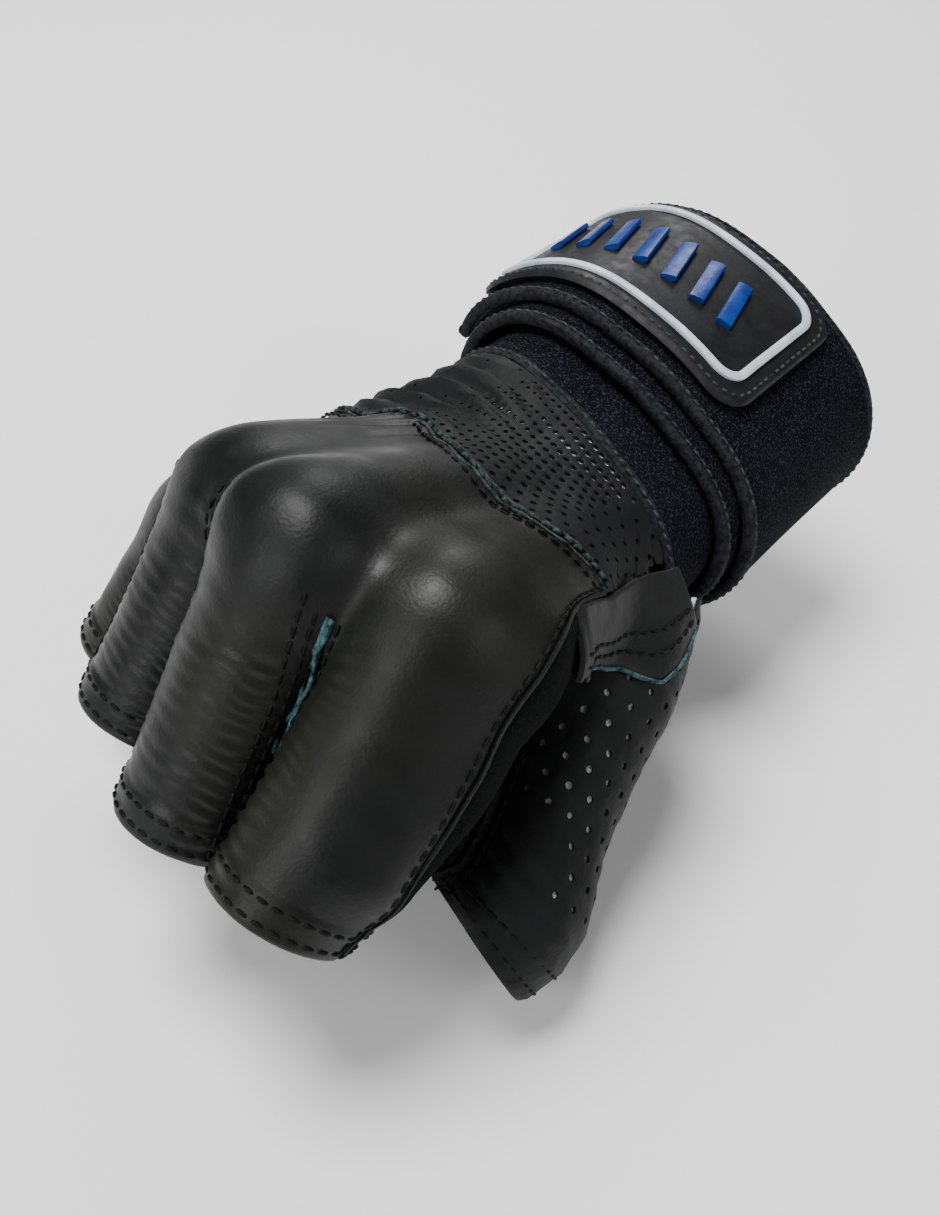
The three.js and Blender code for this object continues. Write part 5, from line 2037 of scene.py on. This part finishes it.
@dataclass
class Wrist:
    """Velour cuff, the long wrap with bound edges, and the badge on it."""

    binding: float = 2.4
    thickness: float = 2.0
    spacing: float = 0.8
    width: float = 50.5
    start: float = 13
    drift: float = 5
    turns: float = 1.6
    tip_angle: float = 185
    tip_lift: float = 2
    tip_share: float = 0.06
    badge_length: float = 66
    badge_width: float = 42
    badge_thickness: float = 1.8
    badge_corner: float = 7
    badge_from_tip: float = 4
    frame_inset: float = 4
    frame_width: float = 1.8
    frame_height: float = 0.8
    rib_count: int = 7
    rib_width: float = 3.4
    rib_length: float = 13
    rib_lean: float = 3
    rib_height: float = 1.0

    def strap(self, share: Array, across: Array, over: Array) -> Array:
        """Point on the wrap: share 0 at its sewn start and 1 at its tip.

        Args:
            share: Share from the sewn start to the tip.
            across: Place across the wrap.
            over: Height over the surface in millimetres.

        Returns:
            Points in millimetres.
        """
        share, across, over = [np.ravel(a) for a in np.broadcast_arrays(share, across, over)]
        deg = self.tip_angle - 360 * self.turns * (1 - share)
        y = -self.start + self.drift * self.turns * share + across * self.width
        lift = self.tip_lift * smooth((share - 1 + self.tip_share) / self.tip_share)
        base = CUFF_LEVEL + VELOUR + self.spacing
        level = base + (self.thickness + self.spacing) * self.turns * share + lift + over
        return HAND.wrist_point(y, deg, level)

    def waves(self, share: Array, across: Array) -> Array:
        """Soft waves of the wrap, none at its edges.

        Args:
            share: Share from the sewn start to the tip.
            across: Place across the wrap.

        Returns:
            Height at each point.
        """
        share, across = np.broadcast_arrays(share, across)
        soft = np.sin(share * 61 + across * 3) * np.sin(across * math.pi)
        return 0.16 * soft

    def build(self) -> None:
        """Makes cuff, wrap and badge.

        Returns:
            None.
        """
        self.cuff()
        self.wrap()
        self.lengths = self._lengths()
        self.badge()

    def cuff(self) -> None:
        """Velour cuff with its bound edge and stitches.

        Returns:
            None.
        """
        deg = np.linspace(0, 360, 181)[:-1]
        r, d = np.meshgrid(np.linspace(0, 1, 50), deg, indexing="ij")
        y = mix(-CUFF_EDGE + self.binding * 0.5, CUFF_END, r.ravel())
        p = HAND.wrist_point(y, d.ravel(), CUFF_LEVEL + VELOUR, 1 - r.ravel())
        level = CUFF_LEVEL + VELOUR + 0.22 * grain(p, 9, 101)
        sheet = Sheet()
        grid = HAND.wrist_point(y, d.ravel(), level, 1 - r.ravel()).reshape(50, 180, 3)
        sheet.add_grid(grid, wrap=True)
        sheet = sheet.turned_out(HAND.hand)
        make_piece("cuff_velour", sheet.thickened(VELOUR), Finish.VELOUR.material(), ["cuff"])
        ring = []
        for at, over in ((-CUFF_EDGE + self.binding / 2, 0.0),):
            o = HAND.wrist_point(at, np.linspace(0, 360, 241), CUFF_LEVEL + VELOUR / 2 + over, 1)
            i = HAND.wrist_point(at, np.linspace(0, 360, 241), CUFF_LEVEL - 1, 1)
            ring.append(Seam(o, unit(o - i)))
        bound = band(Seam(ring[0].points - ring[0].out * (VELOUR * 0.72), ring[0].out), self.binding + 0.4,
                     VELOUR + 0.9, 0.12, 103)
        make_piece("cuff_bound_edge", bound, Finish.BINDING.material(), ["cuff_binding"])
        o = HAND.wrist_point(-CUFF_EDGE + self.binding / 2, np.linspace(0, 360, 241), CUFF_LEVEL + VELOUR + 0.42, 1)
        top = stitches(Seam(o, ring[0].out), 2.2, 0.75, 0.3)
        make_piece("cuff_stitches", top, Finish.GREY_THREAD.material())
        log.info("cuff area %.0f mm2", sheet.area())

    def wrap(self) -> None:
        """The wrap's velour with its bound edges and stitches.

        Returns:
            None.
        """
        share = np.linspace(0, 1, 420)
        edge = self.binding / self.width
        w = np.linspace(edge * 0.6, 1 - edge * 0.6, 40)
        s, ww = np.meshgrid(share, w, indexing="ij")
        over = self.thickness + self.waves(s, ww).ravel()
        outer = self.strap(s.ravel(), ww.ravel(), over).reshape(420, 40, 3)
        sheet = Sheet()
        sheet.add_grid(outer)
        n = self.strap(s.ravel()[:1], ww.ravel()[:1], over[:1] + 1)[0] - outer[0, 0]
        if sheet.normals()[0] @ n < 0:
            sheet.faces = [tuple(reversed(f)) for f in sheet.faces]
        make_piece("wrap_velour", sheet.thickened(self.thickness), Finish.VELOUR.material(),
                   ["wrist_strap"])
        log.info("wrap area %.0f mm2", sheet.area())
        thread, bands = [], []
        for at, node in ((edge * 0.5, "strap_binding_hand"), (1 - edge * 0.5, "strap_binding_arm")):
            p = self.strap(share, at, -0.3)
            q = self.strap(share, at, self.thickness + 1)
            seam = Seam(p, unit(q - p))
            tape = band(seam, self.binding + 0.3, self.thickness + 0.65, 0.1, 111)
            make_piece(f"{node}_tape", tape, Finish.BINDING.material(), [node])
            on = Seam(self.strap(share, at, self.thickness + 0.3), seam.out)
            thread.append(stitches(on, 2.2, 0.75, 0.24))
        tip = np.linspace(0, 1, 60)
        for s_at in (0.9995, 0.0005):
            p, q = self.strap(s_at, tip, -0.3), self.strap(s_at, tip, self.thickness + 1)
            bands.append(band(Seam(p, unit(q - p)), self.binding, self.thickness + 0.65, 0.1, 113))
        make_piece("wrap_end_tapes", loose_parts(bands), Finish.BINDING.material())
        make_piece("wrap_stitches", loose_parts(thread), Finish.GREY_THREAD.material())

    def _lengths(self) -> Array:
        """Lengths back from the tip at even shares.

        Returns:
            The lengths.
        """
        p = self.strap(np.linspace(1, 0, 241), 0.5, self.thickness)
        return np.concatenate([[0], np.cumsum(np.linalg.norm(np.diff(p, axis=0), axis=1))])

    def on_badge(self, a: Array, w: Array, over: Array) -> Array:
        """Point at a length back from the tip and a width from the wrap's middle.

        Args:
            a: Length back from the tip.
            w: Width from the wrap's middle.
            over: Height over the surface in millimetres.

        Returns:
            Points in millimetres.
        """
        share = 1 - np.interp(np.ravel(a), self.lengths, np.linspace(0, 1, 241))
        return self.strap(share, 0.5 + np.ravel(w) / self.width, self.thickness + np.ravel(over))

    def half(self, a: Array, length: float, width: float, corner: float) -> Array:
        """Half width of a rounded plate at a distance from its end.

        Args:
            a: Distance from the plate's end.
            length: Length of the plate.
            width: Width of the plate.
            corner: Radius of its corners.

        Returns:
            Half the width.
        """
        near = np.maximum(corner - np.minimum(a, length - a), 0)
        return width / 2 - corner + np.sqrt(np.maximum(corner * corner - near * near, 0))

    def outline(self, inset: float, count: int = 60) -> Array:
        """Closed outline of the plate, drawn in by an inset, as lengths and widths.

        Args:
            inset: Distance in from the plate's edge.
            count: Number of points.

        Returns:
            Lengths and widths.
        """
        length, width = self.badge_length - 2 * inset, self.badge_width - 2 * inset
        corner = max(self.badge_corner - inset * 0.55, 1.2)
        turn = (1 - np.cos(np.linspace(0, math.pi, count))) / 2
        a = np.concatenate([turn * length, (1 - turn) * length, [0.0]])
        h = self.half(a, length, width, corner) * np.append(np.repeat([1, -1], count), 1)
        return np.stack([a + inset + self.badge_from_tip, h], axis=1)

    def line_on_badge(self, inset: float, over: float) -> Seam:
        """Closed line on the plate.

        Args:
            inset: Distance in from the plate's edge.
            over: Height over the surface in millimetres.

        Returns:
            The line.
        """
        loop = self.outline(inset)
        dense = Seam(np.column_stack([loop, np.zeros(len(loop))]), np.tile([0.0, 0, 1], (len(loop), 1)))
        flat = dense.resampled(0.8).points
        p = self.on_badge(flat[:, 0], flat[:, 1], np.full(len(flat), over))
        q = self.on_badge(flat[:, 0], flat[:, 1], np.full(len(flat), over + 1))
        return Seam(p, unit(q - p))

    def badge(self) -> None:
        """Moulded plate with a stitched rim, a raised frame line and plain ribs.

        Returns:
            None.
        """
        v = np.linspace(-1, 1, 41)
        turn = (1 - np.cos(np.linspace(0, math.pi, 90))) / 2 * self.badge_length
        edge_fall = 1 - np.clip(np.minimum(turn, self.badge_length - turn) / 1.4, 0, 1)
        vv, aa = np.meshgrid(v, turn, indexing="ij")
        h = self.half(aa, self.badge_length, self.badge_width, self.badge_corner)
        from_side = h * (1 - np.abs(vv))
        fall = np.maximum(1 - np.clip(from_side / 1.4, 0, 1), edge_fall[None, :])
        base = GAP + 0.2
        over = base + self.badge_thickness - 0.9 * fall ** 2
        grid = self.on_badge(aa + self.badge_from_tip, vv * h, over).reshape(41, 90, 3)
        low = self.on_badge(aa + self.badge_from_tip, vv * h, np.full(aa.size, base - 0.4)).reshape(41, 90, 3)
        sheet = Sheet()
        sheet.add_grid(grid)
        n = grid[20, 45] - low[20, 45]
        if sheet.normals()[20 * 90 + 45] @ n < 0:
            sheet.faces = [tuple(reversed(f)) for f in sheet.faces]
        make_piece("badge_rubber", sheet.thickened(self.badge_thickness + 0.1, 0.1), Finish.RUBBER.material(),
                   ["badge_plate"])
        top = base + self.badge_thickness
        rim = stitches(self.line_on_badge(1.7, top - 0.05), 2.1, 0.7, 0.3)
        make_piece("badge_rim_stitches", rim, Finish.GREY_THREAD.material())
        frame_line = band(self.line_on_badge(self.frame_inset + self.frame_width / 2, top - 0.3),
                          self.frame_width, self.frame_height + 0.4, 0.03, 121)
        make_piece("badge_frame_line", frame_line, Finish.SILVER.material(), ["badge_frame"])
        ribs = Sheet()
        room = self.badge_length - 2 * (self.frame_inset + self.frame_width) - 2 * self.rib_width - self.rib_lean
        for k in range(self.rib_count):
            a = self.frame_inset + self.frame_width + self.rib_width + room * (k + 0.5) / self.rib_count
            s = np.linspace(-0.5, 0.5, 24)
            line = self.on_badge(self.badge_from_tip + a - s * self.rib_lean, s * self.rib_length,
                                 np.full(24, top - 0.2))
            up = self.on_badge(self.badge_from_tip + a - s * self.rib_lean, s * self.rib_length,
                               np.full(24, top + 1))
            piece = band(Seam(line, unit(up - line)), self.rib_width, self.rib_height + 0.3, 0.0, 131)
            ribs.add(piece.points, piece.faces)
        names = [f"badge_rib_{k + 1}" for k in range(self.rib_count)]
        make_piece("badge_grip_ribs", ribs, Finish.BLUE.material(), names)


class Held(Enum):
    """How a sheet is held."""

    STRETCHED = "stretched"
    FOLDED = "folded"
    LAID = "laid"


@dataclass(frozen=True)
class Cut:
    """Flat cut of one sewn sheet, in millimetres and square millimetres."""

    name: str
    width: float
    length: float
    area: float
    held: Held = Held.STRETCHED
    rests_on: tuple = ()
    trims: tuple = ()

    def declare(self) -> None:
        """Does nothing: nothing is stated or registered for the cut.

        Returns:
            None.
        """


CUTS = (
    Cut("knuckle_leather", 105, 114, 9800, trims=("glove_stitches", "slit_raw_edges")),
    Cut("palm_leather", 112, 118, 9300, trims=("palm_stitches",)),
    Cut("pierced_back", 76, 42, 2500,
        trims=("back_seam_thread", "back_seam_stitches", "back_seam_edge")),
    Cut("back_cloth", 76, 42, 2400, rests_on=("pierced_back",)),
    Cut("pierced_thumb", 43, 84, 3000, trims=("thumb_stitches", "thumb_seams")),
    Cut("thumb_cloth", 43, 84, 2900, rests_on=("pierced_thumb",)),
    Cut("thumb_palm_side", 43, 84, 2700),
    Cut("root_strip", 22, 46, 680, trims=("strip_stitches", "strip_raw_edge")),
    Cut("knit_wall_index_middle", 24, 36, 620, Held.FOLDED, ("knuckle_leather",)),
    Cut("knit_wall_middle_ring", 24, 38, 640, Held.FOLDED, ("knuckle_leather",)),
    Cut("knit_wall_ring_little", 24, 38, 660, Held.FOLDED, ("knuckle_leather",)),
    Cut("cuff_velour", 165, 67, 10300, trims=("cuff_bound_edge", "cuff_stitches")),
    Cut("wrap_velour", 50.5, 300, 15000, Held.LAID, ("cuff_velour",),
        ("strap_binding_hand_tape", "strap_binding_arm_tape", "wrap_end_tapes", "wrap_stitches")),
)


@dataclass
class Studio:
    """Pale floor, soft lights and the camera."""

    floor_drop: float = 1.0
    focal: float = 39.484

    def build(self) -> None:
        """Makes the stage.

        Returns:
            None.
        """
        low = CAD_BOX[0][2] - self.floor_drop * MM - 0.001
        mesh = bpy.data.meshes.new("floor")
        mesh.from_pydata([(-3, -3, low), (3, -3, low), (3, 3, low), (-3, 3, low)], [], [(0, 1, 2, 3)])
        floor = bpy.data.objects.new("floor", mesh)
        bpy.context.scene.collection.objects.link(floor)
        paint = bpy.data.materials.new("floor_paint")
        paint.use_nodes = True
        shader = paint.node_tree.nodes["Principled BSDF"]
        shader.inputs["Base Color"].default_value = (0.94, 0.94, 0.94, 1)
        shader.inputs["Roughness"].default_value = 0.9
        mesh.materials.append(paint)
        world = bpy.data.worlds.new("studio")
        world.use_nodes = True
        world.node_tree.nodes["Background"].inputs["Color"].default_value = (1, 1, 1, 1)
        world.node_tree.nodes["Background"].inputs["Strength"].default_value = 0.13
        bpy.context.scene.world = world
        self.light("key", (-0.22, -0.17, 0.8), 0.42, 11)
        self.light("front", (-0.12, -0.8, 0.36), 0.42, 3.4)
        self.light("fill", (0.7, 0.0, 0.45), 0.5, 2.2)
        self.light("back", (-0.4, 0.6, 0.5), 0.4, 4.0)
        self.camera()

    def light(self, name: str, at: tuple, size: float, power: float) -> None:
        """One soft light aimed at the glove.

        Args:
            name: Name of the light.
            at: Place in metres.
            size: Width in metres.
            power: Power in watts.

        Returns:
            None.
        """
        data = bpy.data.lights.new(name, "AREA")
        data.shape, data.size, data.energy = "DISK", size, power
        obj = bpy.data.objects.new(name, data)
        back = unit(np.array(at))
        side = unit(np.cross((0, 0, 1), back))
        up = np.cross(back, side)
        m = Matrix([[side[k], up[k], back[k], at[k]] for k in range(3)] + [[0, 0, 0, 1]])
        obj.matrix_world = m
        bpy.context.scene.collection.objects.link(obj)

    def camera(self) -> None:
        """Camera at the photograph's angle.

        Returns:
            None.
        """
        right, up = (0.7673, 0.6275, 0.1323), (-0.5285, 0.5020, 0.6846)
        back, eye = (0.3631, -0.5952, 0.7169), (0.09188, -0.19475, 0.16518)
        data = bpy.data.cameras.new("camera")
        data.sensor_fit, data.sensor_height, data.lens = "VERTICAL", 36, self.focal
        data.clip_start = 0.01
        obj = bpy.data.objects.new("camera", data)
        obj.matrix_world = Matrix([[right[k], up[k], back[k], eye[k]] for k in range(3)] + [[0, 0, 0, 1]])
        bpy.context.scene.collection.objects.link(obj)
        bpy.context.scene.camera = obj


def main() -> None:
    """Builds the glove's pieces in order.

    Returns:
        None.
    """
    logging.basicConfig(level=logging.INFO, format="%(message)s")
    Studio().build()
    KnuckleLeather().build()
    SlitWalls().build()
    BackPanel().build()
    Thumb().build()
    Wrist().build()
    for cut in CUTS:
        cut.declare()


if __name__ == "__main__":
    main()
